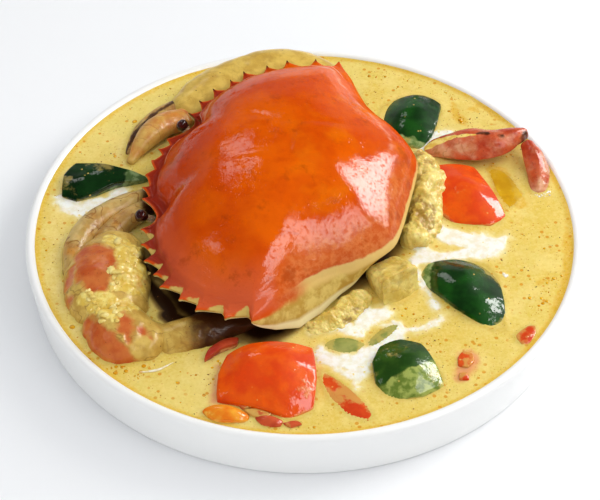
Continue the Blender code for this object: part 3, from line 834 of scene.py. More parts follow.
reaches = np.concatenate([np.linspace(0.01, 0.86, 96), np.linspace(0.87, 1.0, 34)])
outside = [dome_ring(reach) for reach in reaches]
shell_flat = np.array([flat for flat, _ in outside])
shell_up = np.array([height for _, height in outside])

# %% [markdown]
# ## Relief of the shell
#
# The dome isn't smooth. A faint H of grooves marks the middle, a low crease runs inside the
# toothed edge, and fine wrinkles lie along it. They are all sums of simple waves and bells
# in the shell's own frame, so they keep their place when the shell is moved.

# %% Grooves and creases
def bell(x, middle, width):
    """A smooth bump: 1 at the middle, falling off over the width."""
    return np.exp(-(((x - middle) / width) ** 2))


f, s = shell_flat[..., 0], shell_flat[..., 1]
reach_grid = np.repeat(reaches[:, None], len(edge), 1)
arms = bell(np.abs(s), 9.0 + 0.25 * np.abs(f - 6), 2.2) * ramp(f, -22, -12) * ramp(f, 26, 16)
bar = bell(f, 1.0 - 0.02 * s**2, 1.8) * ramp(np.abs(s), 12, 7)
ridge = bell(f - 4 + 0.22 * np.abs(s), 0.0, 2.6) * ramp(np.abs(s), 24, 34) * ramp(np.abs(s), 70, 58)
toothed_side = ramp(edge[:, 0], -16.0, 16.0)[None, :]
crease = bell(reach_grid, 0.885, 0.016) * toothed_side
place3 = np.concatenate([shell_flat, shell_up[..., None]], -1)
along_edge = np.arctan2(s, f - 6.0)
wrinkle = noise(np.stack([along_edge * 9, reach_grid * 90, 0 * s], -1), 1.0, 4)
wrinkle *= ramp(reach_grid, 0.72, 0.86) * toothed_side
gutter = bell(reach_grid, 0.935, 0.035) * toothed_side
RIDGE_UP, CREASE_UP = 0.08, 0.3
ARMS_IN, BAR_IN, GUTTER_IN = 0.24, 0.22, 0.7
relief = RIDGE_UP * ridge + CREASE_UP * crease - ARMS_IN * arms - BAR_IN * bar - GUTTER_IN * gutter
relief += 0.22 * layers(place3, 24, 31, 2) + 0.035 * layers(place3, 5, 32, 2) + 0.10 * wrinkle
relief *= ramp(reach_grid, 1.0, 0.97)

TIP_LIFT = 1.4
lift = TIP_LIFT * (1 - notch / max(notch)) * ramp(edge[:, 0], -3, 1)
outer_rings = raised(shell_to_dish(shell_flat, shell_up), relief)
outer_rings[..., 2] += lift * ramp(reach_grid, 0.95, 1.0)
print("shell relief in mm:", relief.min().round(2), "to", relief.max().round(2))

# %% The side wall, the foot and the inside
drop, out = wall[:, 0], wall[:, 1]
toothed_flat, edge_up = dome_ring(1.0)
edge_up = edge_up + lift
WALL_RINGS = 14
FOOT_WALL = 2.0
INSIDE_STEP, INSIDE_DROP = 3.5, 1.3
lip = FOOT_WALL / 2
# The share goes from 0 to 1 down the side wall and on to 4.1 round its foot; inside it is 5 or 6.
wall_rings, wall_share = [], []
for t in np.linspace(0, 1, WALL_RINGS + 1)[1:]:
    bulge = np.sin(np.pi * t) * 0.10 * drop
    reach_out = -inward * (out * t + bulge)[:, None]
    wall_rings.append(shell_to_dish(toothed_flat + reach_out, edge_up - drop * t))
    wall_share.append(t)
for turn_in in np.linspace(0, np.pi, 7)[1:]:
    step_in = lip * (1 - np.cos(turn_in))
    step_down = 0.5 * lip * np.sin(turn_in)
    reach_out = -inward * (out - step_in)[:, None]
    wall_rings.append(shell_to_dish(toothed_flat + reach_out, edge_up - drop - step_down))
    wall_share.append(1.0 + turn_in)
wall_rings.append(shell_to_dish(toothed_flat + inward * INSIDE_STEP, edge_up - INSIDE_DROP))
wall_share.append(5.0)
for reach in (0.88, 0.8, 0.7, 0.55, 0.4, 0.2):
    flat = SHELL_POLE + (edge - SHELL_POLE) * reach + inward * SHELL_WALL
    height = shell_height(edge, np.full(len(edge), reach)) - SHELL_WALL
    wall_rings.append(shell_to_dish(flat, height))
    wall_share.append(6.0)
shell_rings = np.concatenate([outer_rings, np.array(wall_rings)])
seated = seat(shell_rings, "carapace")
shell_place = (seated - shell_rings).mean((0, 1))
shell_rings = seated

# %% Masks on the shell
SMEARED_SIDE = 22.0
levels = len(shell_rings)
count = len(edge)
reach_mask = np.concatenate([reach_grid, np.repeat(1 + np.array(wall_share)[:, None], count, 1)])
to_far = np.concatenate([s, np.tile(s[-1], (len(wall_rings), 1))])
forward = np.concatenate([f, np.tile(f[-1], (len(wall_rings), 1))])
rear_mask = np.tile(ramp(edge[:, 0], -4.0, -12.0), (levels, 1))
tip_share = np.tile(1 - notch / max(notch), (levels, 1)) * np.tile(ramp(edge[:, 0], -3, 1), (levels, 1))
smeared = ramp(edge[:, 1], -SMEARED_SIDE, -SMEARED_SIDE - 8) * ramp(edge[:, 0], -3, 1)
smear_mask = np.tile(smeared * notch / max(notch), (levels, 1))
shell_masks = {
    "reach": reach_mask,
    "to_far": to_far,
    "forward": forward,
    "rear": rear_mask,
    "tip": tip_share,
    "smear": smear_mask,
}

# %% [markdown]
# ## The shell's finish
#
# Cooking turns the shell orange-red. The colour isn't one red: the dome is a warm orange
# towards the back and a deeper red in front, the flange inside the front teeth is darker and
# slightly purple, and the near edge and the flank behind are salmon pink, partly the shell's
# own paler colour and partly a painted sheen, with sauce dried in the notches. A whitish line
# on the crease and pale streaks along the far edge are painted highlights. Fine freckles and
# granules lie over all of it. Where the shell folds down at the sides it is pale yellow.
# Nearly all of the gloss is in a thin film of oil, so it is made with the clear coat, whose
# reflections stay white, while the pigment under it reflects almost nothing.

# %% Cooked shell
cooked = Finish(
    "cooked_shell", Roughness=0.55, Specular_IOR_Level=0.0, Coat_Weight=1.0, Coat_Roughness=0.06,
    Coat_IOR=2.0,
)
reach = cooked.mask("reach")
to_far, forward_f = cooked.mask("to_far"), cooked.mask("forward")
patchy = cooked.noise(26, 3)
warm = cooked.blend(cooked.step(patchy, 0.36, 0.64), rgb(204, 70, 2), rgb(222, 92, 2))
warm = warm.painted(cooked.patches(8, 5, 0.48, 0.78, rough=0.6) * 0.6, 190, 56, 3)
golden = cooked.patches(17, 3, 0.5, 0.72) * cooked.step(forward_f, 14.0, -12.0)
warm = warm.painted(golden * 0.7, 226, 112, 6)
front_red = cooked.step(forward_f + patchy * 16.0, 32.0, 52.0)
warm = warm.painted(front_red * 0.7, 186, 54, 6)

# %% The darker rind inside the teeth, the pink near edge and flank with painted sheen, and a painted highlight on the crease
edge_noise = cooked.noise(7, 4) * 0.12
rind_place = reach + edge_noise
toothed_part = cooked.step(cooked.mask("rear"), 0.6, 0.1)
rind = cooked.step(rind_place, 0.9, 0.98) * toothed_part
front_rind = rind * cooked.step(forward_f, 22.0, 46.0)
# The salmon near edge is partly the shell's paler margin and partly a painted sheen.
near_rind = cooked.step(rind_place, 0.78, 0.98) * toothed_part
near_rind = near_rind * cooked.step(to_far, -14.0, -38.0)
warm = warm.painted(near_rind * 0.85, 208, 92, 56)
warm = warm.painted(front_rind * 0.85, 140, 38, 28)
warm = warm.painted(cooked.step(reach, 0.975, 1.0) * toothed_part, 212, 80, 22)
# The salmon-brown flank behind is partly the shell's own duller colour and partly a painted dim
# reflection.
flank = cooked.step(rind_place, 0.8, 0.96) * cooked.mask("rear")
flank = flank * cooked.step(to_far, 30.0, -6.0)
flank_tone = cooked.mottled((196, 92, 44), (212, 124, 70), 3.0, 5, 0.4, 0.62, rough=0.7)
warm = cooked.blend(flank * 0.8, warm, flank_tone)
# A painted highlight: a whitish line along the crease inside the toothed edge.
crease_highlight = abs(reach + cooked.noise(12, 2) * 0.02 - 0.893)
crease_highlight = cooked.step(crease_highlight, 0.006, 0.001) * cooked.step(to_far, -4.0, 12.0)
crease_highlight = crease_highlight * toothed_part
warm = warm.painted(crease_highlight * 0.75, 236, 186, 158)

# %% Freckles, stains and the painted sheen along the far edge
freckle = cooked.step(cooked.cells(1.2), 0.24, 0.08) * 0.25
freckle = freckle * cooked.patches(11, 2, 0.4, 0.6)
warm = warm.painted(freckle, 140, 34, 2)
stain = cooked.patches(11, 5, 0.56, 0.7, rough=0.65) * 0.45
warm = warm.painted(stain, 150, 50, 4)
# A painted sheen: pale, broken streaks along the far edge.
far_edge_sheen = abs(reach + edge_noise - 0.885)
far_edge_sheen = cooked.step(far_edge_sheen, 0.035, 0.004) * cooked.step(to_far, 4.0, 22.0)
sheen_gaps = cooked.step(cooked.noise(7, 5, 0.65, 0.5, (0.6, 1.3, 1.0)), 0.44, 0.62)
warm = warm.painted(far_edge_sheen * sheen_gaps * 0.5, 236, 172, 140)

# %% The rim behind, the tips of the teeth and the sauce between them
rear_rim = reach + cooked.step(to_far, -12.0, -26.0) * 0.007
rear_rim = cooked.step(rear_rim + cooked.noise(4, 3) * 0.012, 0.992, 0.999)
rear_rim = rear_rim * (cooked.mask("rear") * cooked.step(to_far, 34.0, 14.0))
rear_rim = rear_rim * cooked.step(to_far, -60.0, -50.0)
warm = warm.painted(rear_rim * 0.85, 228, 200, 122)
tips = cooked.step(cooked.mask("tip"), 0.62, 0.92) * cooked.step(reach, 0.965, 0.992)
tips = tips * cooked.step(to_far, 10.0, 40.0)
warm = warm.painted(tips, 52, 20, 8)
smear = cooked.mask("smear") + cooked.step(reach, 0.9, 1.0) * 0.75
smear = smear + cooked.noise(4, 4, 0.6) * 0.8
sauce_film = cooked.step(smear, 1.72, 1.90)
warm = warm.painted(sauce_film * cooked.step(cooked.mask("smear"), 0.0, 0.2), 204, 174, 94)

# %% The side wall and the inside
side_wall = cooked.step(reach + cooked.noise(5, 4) * 0.3, 1.14, 1.4)
pale = cooked.mottled((186, 148, 66), (218, 190, 106), 5, 4, 0.4, 0.65)
lip = cooked.step(reach, 1.62, 1.80)
pale = pale.painted(lip, 240, 228, 176)
warm = cooked.blend(side_wall, warm, pale)
inside = cooked.step(reach, 5.2, 5.8)
cooked.feed("Base Color", warm.painted(inside, 110, 56, 16))

# %% Gloss and bumps
oily = cooked.step(rind_place, 1.02, 0.8) * 0.3 + 0.19
dry_spots = cooked.step(cooked.noise(2.4, 5, 0.7) + cooked.noise(16, 2) * 0.8, 1.02, 1.1)
oily = oily * cooked.patches(1.5, 3, 0.3, 0.5, rough=0.7)
cooked.feed("Coat Weight", oily * cooked.step(dry_spots, 1.0, -0.35))
granules = cooked.dots(0.85, 0.5, 0.0, (15, 0.52, 0.62))
brush = cooked.noise(3.4, 5, 0.65, 0.3, (1.0, 0.6, 1.0))
pores = cooked.dots(2.3, 0.22, 0.06, (19, 0.46, 0.58))
cooked.relief((cooked.noise(3.2, 3), 0.03), (brush, 0.11), (granules, 0.04), (pores, -0.05))

skin("back_shell", shell_rings, cooked.material, "crab_shell", ["carapace"], **shell_masks)
# %% [markdown]
# ## Limbs and squares
#
# Two more shapes cover nearly all the rest. A limb is a rounded tube along a curve, with a
# width and a height at each point of its path, and it serves for claws, legs, eyes and lumps
# of meat. A square is a thick slab inside an outline, with a rounded shoulder and a domed
# top, and it serves for pepper, onion and broken shell. Both end up as stacks of rings.

# %% Limb and square surfaces
def limb(path, widths, heights, stations=90, sides=120, roll=0.0, square=2.0, dome=0.75):
    """Rings along a smooth path; the cross-section is a superellipse and both ends are domes.

    A small dome leaves a flat end, as where a leg has been chopped through.
    """
    place = np.linspace(0, 1, stations)
    centre = smooth(path, stations)
    knots = np.linspace(0, 1, len(widths))
    half = np.stack([follow(np.stack([knots, w], 1), place) for w in (widths, heights)], 1)
    along = np.gradient(centre, axis=0)
    along /= np.linalg.norm(along, axis=1)[:, None]
    side = np.cross(along, [0.0, 0.0, 1.0])
    side /= np.linalg.norm(side, axis=1)[:, None]
    up = np.cross(side, along)
    c, s = math.cos(math.radians(roll)), math.sin(math.radians(roll))
    side, up = c * side + s * up, c * up - s * side
    angles = np.linspace(0, 2 * np.pi, sides, endpoint=False)
    power = 2.0 / square
    across = np.sign(np.cos(angles)) * np.abs(np.cos(angles)) ** power
    over = np.sign(np.sin(angles)) * np.abs(np.sin(angles)) ** power
    cap = np.radians(np.linspace(88, 8, 12))
    first = [(0, -math.sin(a), math.cos(a)) for a in cap]
    last = [(-1, math.sin(a), math.cos(a)) for a in cap[::-1]]
    body = [(k, 0.0, 1.0) for k in range(stations)]
    rings = []
    for k, step, share in first + body + last:
        middle = centre[k] + along[k] * step * dome * half[k].min()
        ring = middle + share * (
            half[k, 0] * across[:, None] * side[k] + half[k, 1] * over[:, None] * up[k]
        )
        rings.append(ring)
    return np.array(rings)


ROUND_STEPS = np.linspace(0, np.pi / 2, 9)[1:]
TAPER = 0.04


def straight(points, count):
    """The closed outline with straight sides, at the same parameters as the smooth curve."""
    points = np.asarray(points, float)
    t = np.linspace(0, len(points), count, endpoint=False)
    k = t.astype(int)
    return points[k] + (points[(k + 1) % len(points)] - points[k]) * (t - k)[:, None]


def slab(outline, top, thickness, dome, lean, sides, shoulder, waves, seed, crisp):
    """Rings of a thick sheet: out over the domed top, round the shoulder, down and back in.

    The outline is a mix of a smooth curve and straight cuts; crisp is the share of the cuts.
    The dome falls with the square of the distance, measured by the outline's own spread, so
    that its corners don't crease it.
    """
    round_shape = smooth(outline, sides, closed=True)
    shape = (1 - crisp) * round_shape + crisp * straight(outline, sides)
    middle = shape.mean(0)
    size = np.linalg.norm(shape - middle, axis=1).mean()
    spread = np.cov((round_shape - middle).T)
    straight_depth = thickness - 2 * shoulder
    turned = [(shoulder * (1 - math.sin(a)), shoulder * (1 - math.cos(a))) for a in ROUND_STEPS]
    steps = [(r, 0.0, 0.0) for r in np.linspace(0.02, 1 - shoulder / size, 44)]
    steps += [(1 - short / size, drop, 0.0) for short, drop in turned]
    steps += [(1 - TAPER * t, shoulder + straight_depth * t, t) for t in np.linspace(0.1, 1, 12)]
    steps += [(1 - TAPER - drop / size, thickness - short, 1.0) for short, drop in turned]
    steps += [(r, thickness, 1.0) for r in (0.6, 0.3, 0.05)]
    rings, cut = [], []
    for reach, depth, side in steps:
        flat = middle + (shape - middle) * reach
        away = flat - middle
        swell = (away @ np.linalg.inv(spread) * away).sum(1) / 2
        z = top + away @ np.array(lean) - dome * 1.2 * swell / (1 + 0.2 * swell) - depth
        ring = np.column_stack([flat, z])
        ring[:, 2] += waves * layers(np.column_stack([flat, 0 * z]), 15, seed, 2)
        rings.append(ring)
        cut.append(np.full(sides, side + depth / thickness * 0.2))
    return np.array(rings), np.array(cut)

# %% [markdown]
# ## Claws and legs
#
# The claws lie half sunk in the sauce, and a thick film of it, with crushed garlic, has set
# on them. Bare shell shows through only in places. So their finish mixes two surfaces with a
# broken edge between them: a mottled brown and red shell, and a lumpy yellow coat. Real
# lumps belong in the mesh, where light and outline both show them, and only the finest
# grain is a bump.

# %% Coated shell
def coated_finish(name, shell_a, shell_b, coat_a, coat_b, veins, gloss=0.3):
    """A sauce-coated shell: the coat is cut off where the "coat" mask, roughened, falls below zero.

    "garlic" turns the coat a brighter yellow, and "dark" turns everything a deep brown: painted
    shade where the piece runs in under the back shell, and the real dark edge of the far fixed
    finger and the dark spots on the leg.
    """
    made = Finish(name, Roughness=gloss, Specular_IOR_Level=0.2, Coat_Weight=0.35, Coat_Roughness=0.12)
    under = made.mottled(shell_a, shell_b, 6, 4, 0.36, 0.62)
    pits = made.step(made.cells(1.6), 0.2, 0.08) * 0.5
    under = under.painted(pits, 110, 48, 14)
    over = made.mottled(coat_a, coat_b, 5, 4, 0.36, 0.64)
    line = abs(made.noise(13, 3, 0.5, 0.6) - 0.5)
    line = made.step(line, 0.016, 0.004) * veins
    over = over.painted(line, 136, 92, 34)
    garlic = made.mask("garlic") + made.noise(2.2, 3) * 0.9
    garlic = made.step(garlic, 0.55, 1.05)
    bright = made.mottled((226, 190, 80), (242, 220, 124), 2.6, 3, 0.4, 0.62)
    over = made.blend(garlic, over, bright)
    grain = made.dots(1.5, 0.16, 0.07, (7, 0.4, 0.6))
    over = over.painted(grain * 0.6, 150, 90, 16)
    dot = made.step(made.cells(4.2), 0.085, 0.045) * 0.85
    over = over.painted(dot, 52, 30, 10)
    cover = made.mask("coat") + (made.noise(3.6, 5, 0.65) - 0.5) * 4.0
    cover = made.step(cover, -1.7, 1.7)
    colour = made.blend(cover, under, over)
    dark = made.mask("dark") + (made.noise(5, 3) - 0.5) * 0.8
    colour = colour.painted(made.step(dark, 0.1, 0.9), 66, 32, 10)
    made.feed("Base Color", colour)
    made.relief((made.noise(1.8, 3), 0.10), (made.noise(0.6, 2), 0.02), (cover, 0.15))
    return made.material


near_coat = coated_finish(
    "coated_claw", (192, 84, 34), (206, 112, 50), (190, 150, 66), (216, 182, 92), 0.5
)
finger_coat = coated_finish(
    "coated_finger", (150, 96, 44), (196, 128, 44), (186, 154, 84), (206, 176, 108), 0.9
)
far_coat = coated_finish(
    "coated_far_claw", (170, 120, 60), (190, 140, 66), (200, 162, 70), (222, 188, 90), 0.12
)
far_finger = coated_finish(
    "far_finger", (188, 96, 40), (212, 128, 52), (196, 146, 66), (214, 176, 92), 0.5
)
# The arm lies in the shadow under the shell: its darker shell colours are painted shade.
arm_shell = coated_finish("arm_shell", (150, 62, 20), (120, 60, 22), (186, 146, 62), (206, 172, 84), 0.3)
leg_shell = coated_finish(
    "red_leg_shell", (176, 58, 28), (204, 88, 46), (204, 122, 78), (222, 168, 128), 0.3, 0.26
)

# %% Where the coat has gone and where garlic lies, as strokes (x, y, half width)
BARE_SPOTS = [
    [(-84.5, -21, 4.0), (-80.5, -27, 7.0), (-80, -34, 7.5), (-79.5, -40, 4.5)],
    [(-89.5, -30, 1.6), (-90.6, -37, 1.8)],
    [(-81.5, -56, 1.8), (-78.6, -62, 3.6), (-73.5, -67, 4.2), (-68, -71, 3.0), (-62, -73.5, 1.4)],
    [(-68.4, -56.5, 2.2), (-66.8, -61, 3.4), (-65.2, -66, 2.2)],
    [(-60.5, -62.4, 1.2), (-57.5, -64.6, 1.2)],
    [(-91.8, -41.5, 1.2), (-89, -43.5, 1.6)],
]
GARLIC_SPOTS = [
    [(-75, -16, 3.0), (-69.5, -20, 5.0), (-66.5, -28, 6.0), (-67.5, -37, 6.5)],
    [(-73, -36.5, 3.0), (-71.5, -41, 3.0)],
    [(-83, -46, 2.4), (-77, -46, 3.0), (-71, -50, 4.5), (-66, -50, 3.4)],
    [(-80, -50, 2.0), (-72, -55, 3.4), (-70, -58, 2.6)],
]
DARK_EDGE = [[(-55, 71, 1.0), (-64, 61.5, 1.6), (-71, 50, 1.6), (-74, 43, 1.4)]]


def spot_depth(rings, strokes):
    """The depth inside the strokes for each point of some rings, in plan."""
    return stroke_depth(rings.reshape(-1, 3), strokes).reshape(rings.shape[:2])


# %% Claws
CLAW_PARTS = {
    "far_claw_palm": dict(
        path=[
            (16, 82, 19), (3, 86, 20), (-10, 85.5, 20.5), (-25, 81, 20.5), (-39, 75, 20.5),
            (-50, 68, 20.5),
        ],
        widths=[8.0, 14.5, 17.5, 17.0, 14.0, 9.0], heights=[5.5, 9.0, 10.0, 9.5, 8.5, 6.5], roll=22.0,
        material=far_coat, lump=0.35, cover=2.0,
    ),
    "far_claw_fixed_finger": dict(
        path=[(-50, 73, 20), (-60, 66, 20.5), (-68, 56, 20.5), (-73, 43, 19.5)],
        widths=[5.5, 4.5, 3.5, 1.5], heights=[5.0, 4.5, 3.5, 1.5], material=finger_coat, lump=0.2,
        cover=0.2,
    ),
    "far_claw_moving_finger": dict(
        path=[(-50, 61, 24), (-58, 56, 25.5), (-65, 48, 25), (-71, 38, 21.5)],
        widths=[5.5, 5.5, 4.5, 1.8], heights=[4.5, 4.5, 4.0, 1.8], material=far_finger, lump=0.15,
        cover=0.0,
    ),
    "near_claw_palm": dict(
        path=[(-73, -46, 20), (-75.5, -36, 21), (-75.5, -24, 21), (-73, -12, 21)],
        widths=[14.0, 16.5, 16.0, 10.5], heights=[9.5, 11.5, 11.0, 8.0], material=near_coat, lump=0.5,
        cover=2.2,
    ),
    "near_claw_wrist": dict(
        path=[(-77, -53, 19.5), (-68, -59, 20), (-57, -62, 19.5)], widths=[9.0, 13.5, 9.5],
        heights=[8.0, 10.5, 8.0], material=near_coat, lump=0.5, cover=2.2,
    ),
    "near_claw_arm": dict(
        path=[(-51, -60, 18.5), (-39, -56, 19.5), (-28, -51, 20), (-19, -46, 20)],
        widths=[8.0, 8.5, 8.0, 7.0], heights=[6.5, 7.0, 7.0, 6.0], material=arm_shell, lump=0.4,
        cover=0.3,
    ),
    "near_claw_fixed_finger": dict(
        path=[
            (-90, -26, 20.5), (-89.5, -14, 21.5), (-84.5, -2, 22), (-77, 6, 22.5), (-69, 12, 22.5),
            (-61, 17, 22),
        ],
        widths=[3.5, 4.8, 5.5, 5.2, 4.6, 3.5], heights=[5.0, 5.5, 5.5, 5.0, 4.5, 3.5],
        material=finger_coat, lump=0.2, cover=0.9,
    ),
    "near_claw_moving_finger": dict(
        path=[(-79, -9, 22.5), (-73, -1, 23.5), (-66, 6, 23.5), (-60, 11, 23)],
        widths=[4.5, 4.5, 4.0, 3.0], heights=[4.5, 4.5, 4.0, 3.0], material=finger_coat, lump=0.2,
        cover=0.9,
    ),
}


def claw_part(number, node, path, widths, heights, material, lump, cover, roll=0.0):
    """One part of a claw: its coat is thickest by cover, its lumps stand about lump high."""
    rings = seat(limb(path, widths, heights, 130, 170, roll), node)
    garlic = ramp(spot_depth(rings, GARLIC_SPOTS) + 1.2 * layers(rings, 5, 70), -1.0, 1.5)
    bare = spot_depth(rings, BARE_SPOTS) + 1.5 * layers(rings, 6, 71, 3)
    coat = np.minimum(cover + 1.2 * layers(rings, 9, 72, 3), -bare)
    coat = coat + 2.0 * ramp(rings[..., 0], -40, -48) * (material == arm_shell)
    # Painted shade: "dark" browns the parts in under the back shell, and the arm towards the shell.
    dark = ramp(under_shell(rings) + 1.5 * noise(rings, 8, 73), -2.5, 3.5) * (rings[..., 1] < 60)
    dark = np.maximum(dark, 0.75 * ramp(rings[..., 0], -48, -38) * (material == arm_shell))
    thick = lump * layers(rings, 9.0, 40 + number, 3)
    thick = thick + garlic * (0.5 * pebbles(rings, 5.0, 74) + 1.3 * abs(layers(rings, 7.0, 75, 4)) - 0.3)
    rings = raised(rings, thick + 0.25 * ramp(coat, -0.5, 0.8))
    if node == "far_claw_fixed_finger":
        dark = np.maximum(
            dark, 0.8 * ramp(spot_depth(rings, DARK_EDGE) + layers(rings, 4, 76, 3), -0.6, 0.8)
        )
    masks = {"coat": coat, "garlic": garlic, "dark": dark}
    skin(node + "_surface", rings, material, "coated_shell", [node], **masks)


for number, (node, part) in enumerate(CLAW_PARTS.items()):
    claw_part(number, node, **part)

# %% Leg
LEG_PARTS = {
    "leg_upper": (
        [(51, 44, 21.5), (56, 45, 23), (66, 44, 25.5), (77, 43, 27), (86, 46, 28), (90, 48, 28)],
        [3.0, 5.0, 7.8, 7.2, 4.5, 3.0], [2.0, 3.0, 4.2, 4.2, 3.8, 3.0], -12.0,
    ),
    "leg_lower": (
        [(91.5, 42.5, 26.5), (93.5, 37, 25.5), (95, 30, 22.5), (94.5, 22, 19.5)],
        [3.2, 4.4, 4.8, 3.6], [3.0, 4.0, 4.2, 3.0], 0.0,
    ),
}
PALE_SPOTS = [
    [(50, 43.5, 3.0), (56, 41.5, 2.6), (62, 39.6, 1.8), (68, 38.4, 1.4)],
    [(95.0, 24, 1.4), (95, 20, 3.0)],
    [(97.4, 36, 0.8), (98.4, 29, 0.9)],
]
FORK = [[(49, 46, 2.0), (51.5, 45.0, 1.8), (57.8, 45.8, 1.4), (63.9, 45.2, 0.9), (70.0, 44.6, 0.2)]]
DARK_SPOTS = [
    [(71.5, 45.5, 1.2), (74.5, 44.5, 1.6)],
    [(79.5, 43.2, 0.8), (81, 43.0, 0.6)],
    [(89.5, 43.5, 1.5), (91, 46, 1.4)],
]
for number, (node, (path, widths, heights, roll)) in enumerate(LEG_PARTS.items()):
    rings = seat(limb(path, widths, heights, 130, 140, roll, 1.5), node)
    pale = spot_depth(rings, PALE_SPOTS) + 1.2 * layers(rings, 5, 92, 3)
    coat = np.maximum(-1.3 + 1.2 * layers(rings, 6, 90 + number, 4), pale)
    coat = coat + 1.6 * ramp(rings[..., 2], SAUCE_LEVEL + 2.5, SAUCE_LEVEL)
    fork = ramp(spot_depth(rings, FORK) + 0.5 * layers(rings, 3, 94, 3), -0.3, 0.4)
    coat = coat + 3.0 * fork
    dark = 0.75 * ramp(spot_depth(rings, DARK_SPOTS) + layers(rings, 3, 93, 3), -0.8, 1.0)
    rings = raised(rings, 0.25 * layers(rings, 7.0, 80 + number, 4))
    skin(node + "_surface", rings, leg_shell, "crab_shell", [node], coat=coat, garlic=fork, dark=dark)

# %% [markdown]
# ## Eyes
#
# Each eye is a dark glossy bead on a short pale stalk, which comes out of its socket in the
# front of the shell. It is the same limb surface with a ball for its last part.

# %% Eyes
eye_finish = Finish("crab_eye", Roughness=0.12, Coat_Weight=0.8, Coat_Roughness=0.04)
bead = eye_finish.mottled((38, 10, 10), (74, 20, 16), 1.6, 3, 0.4, 0.7)
stalk = eye_finish.mottled((206, 150, 110), (226, 204, 176), 1.0, 3, 0.4, 0.6)
eye_finish.feed("Base Color", eye_finish.blend(eye_finish.mask("bead"), stalk, bead))
eye_finish.relief((eye_finish.noise(0.5, 2), 0.03))
EYES = {"eye_far": 1.0, "eye_near": -1.0}
for node, out_y in EYES.items():
    low, high = box_of(node)
    middle = (low + high) / 2
    foot = middle + np.array([3.0, -1.6 * out_y, -2.8])
    place = middle + np.array([-1.6, 0.8 * out_y, 1.6])
    path = [foot, foot + 0.45 * (place - foot), foot + 0.75 * (place - foot), place]
    rings = limb(path, [1.5, 1.5, 2.3, 2.6], [1.5, 1.5, 2.3, 2.6], 50, 60)
    share = np.repeat(ramp(np.arange(len(rings)), 0.5 * len(rings), 0.56 * len(rings))[:, None], 60, 1)
    skin(node + "_bead", rings, eye_finish.material, "crab_eye", [node], bead=share)

# %% [markdown]
# ## Crab meat
#
# Where the body was chopped, soft yellow meat shows in lumps and strands. It is matt beside
# the shell and wet only with sauce. The chopped body under the shell is hardly seen, but from
# the side it fills the gap between the shell and the sauce.

# %% Meat
meat = Finish(
    "crab_meat", Roughness=0.5, Specular_IOR_Level=0.2, Coat_Weight=0.3, Coat_Roughness=0.15,
    Subsurface_Weight=0.25, Subsurface_Scale=0.002,
)
flesh = meat.mottled((212, 182, 84), (236, 216, 126), 6, 4, 0.36, 0.64)
strand = meat.step(meat.noise(1.8, 4, 0.6, 0.8), 0.55, 0.7)
flesh = flesh.painted(strand * 0.6, 238, 222, 146)
# Painted shade: the crevices between the lumps are painted brown.
crevice_shade = meat.step(meat.mask("crevice"), 0.15, 0.85)
flesh = flesh.painted(crevice_shade * 0.6, 150, 104, 40)
browned = meat.patches(4.5, 5, 0.5, 0.66, rough=0.65) * 0.3
flesh = flesh.painted(browned, 150, 108, 46)
speck = meat.step(meat.cells(2.1), 0.14, 0.06) * 0.6
flesh = flesh.painted(speck, 170, 110, 30)
# Painted shade: "dark" browns the meat in under the back shell.
dark = meat.step(meat.mask("dark") + meat.noise(4, 3) * 0.4, 0.5, 1.1)
meat.feed("Base Color", flesh.painted(dark, 88, 50, 18))
meat.relief((meat.noise(2.6, 4, 0.6, 0.5), 0.22), (meat.noise(0.8, 3), 0.05))
MEAT_PARTS = {
    "leg_stub": dict(
        path=[(29, -23.5, 20.5), (32, -28, 22.5), (37, -36, 24.5)], widths=[6.0, 8.0, 8.5],
        heights=[3.5, 5.5, 7.5], lump=0.25, square=5.0, dome=0.12,
    ),
    "rear_meat": dict(
        path=[(46, 38, 21), (49, 27, 22), (47.5, 13, 21.5), (46.5, 2, 21.5), (43.5, -8, 20.5)],
        widths=[5.0, 7.0, 7.5, 7.0, 5.5], heights=[7.0, 8.5, 8.5, 8.0, 6.5], lump=1.5, square=2.0,
        dome=0.75,
    ),
    "front_meat": dict(
        path=[(2, -54, 18), (10, -51, 18.5), (17, -46, 19.5), (22, -39, 20)],
        widths=[5.0, 5.5, 5.5, 5.0], heights=[4.5, 5.0, 5.5, 5.0], lump=1.4, square=2.0, dome=0.75,
    ),
}


def meat_part(number, node, path, widths, heights, lump, square, dome):
    """One piece of meat: a limb raised into folded lumps, browned between them."""
    rings = seat(limb(path, widths, heights, 130, 160, 0.0, square, dome), node)
    folds = abs(layers(rings, 10.0, 100 + number, 5, 0.6))
    lumps = 0.9 * layers(rings, 10.0, 110 + number, 5, 0.58) + 0.7 * folds - 0.2
    rings = raised(rings, max(lump, 0.7) * lumps)
    # Painted shade: darker in under the back shell and in the crevices between the lumps.
    dark = ramp(under_shell(rings), 1.0, 8.0) * (node != "leg_stub")
    crevice = ramp(lumps, -0.2, -0.8) * min(lump + 0.15, 1.0)
    skin(node + "_surface", rings, meat.material, "crab_meat", [node], crevice=crevice, dark=dark)


for number, (node, part) in enumerate(MEAT_PARTS.items()):
    meat_part(number, node, **part)

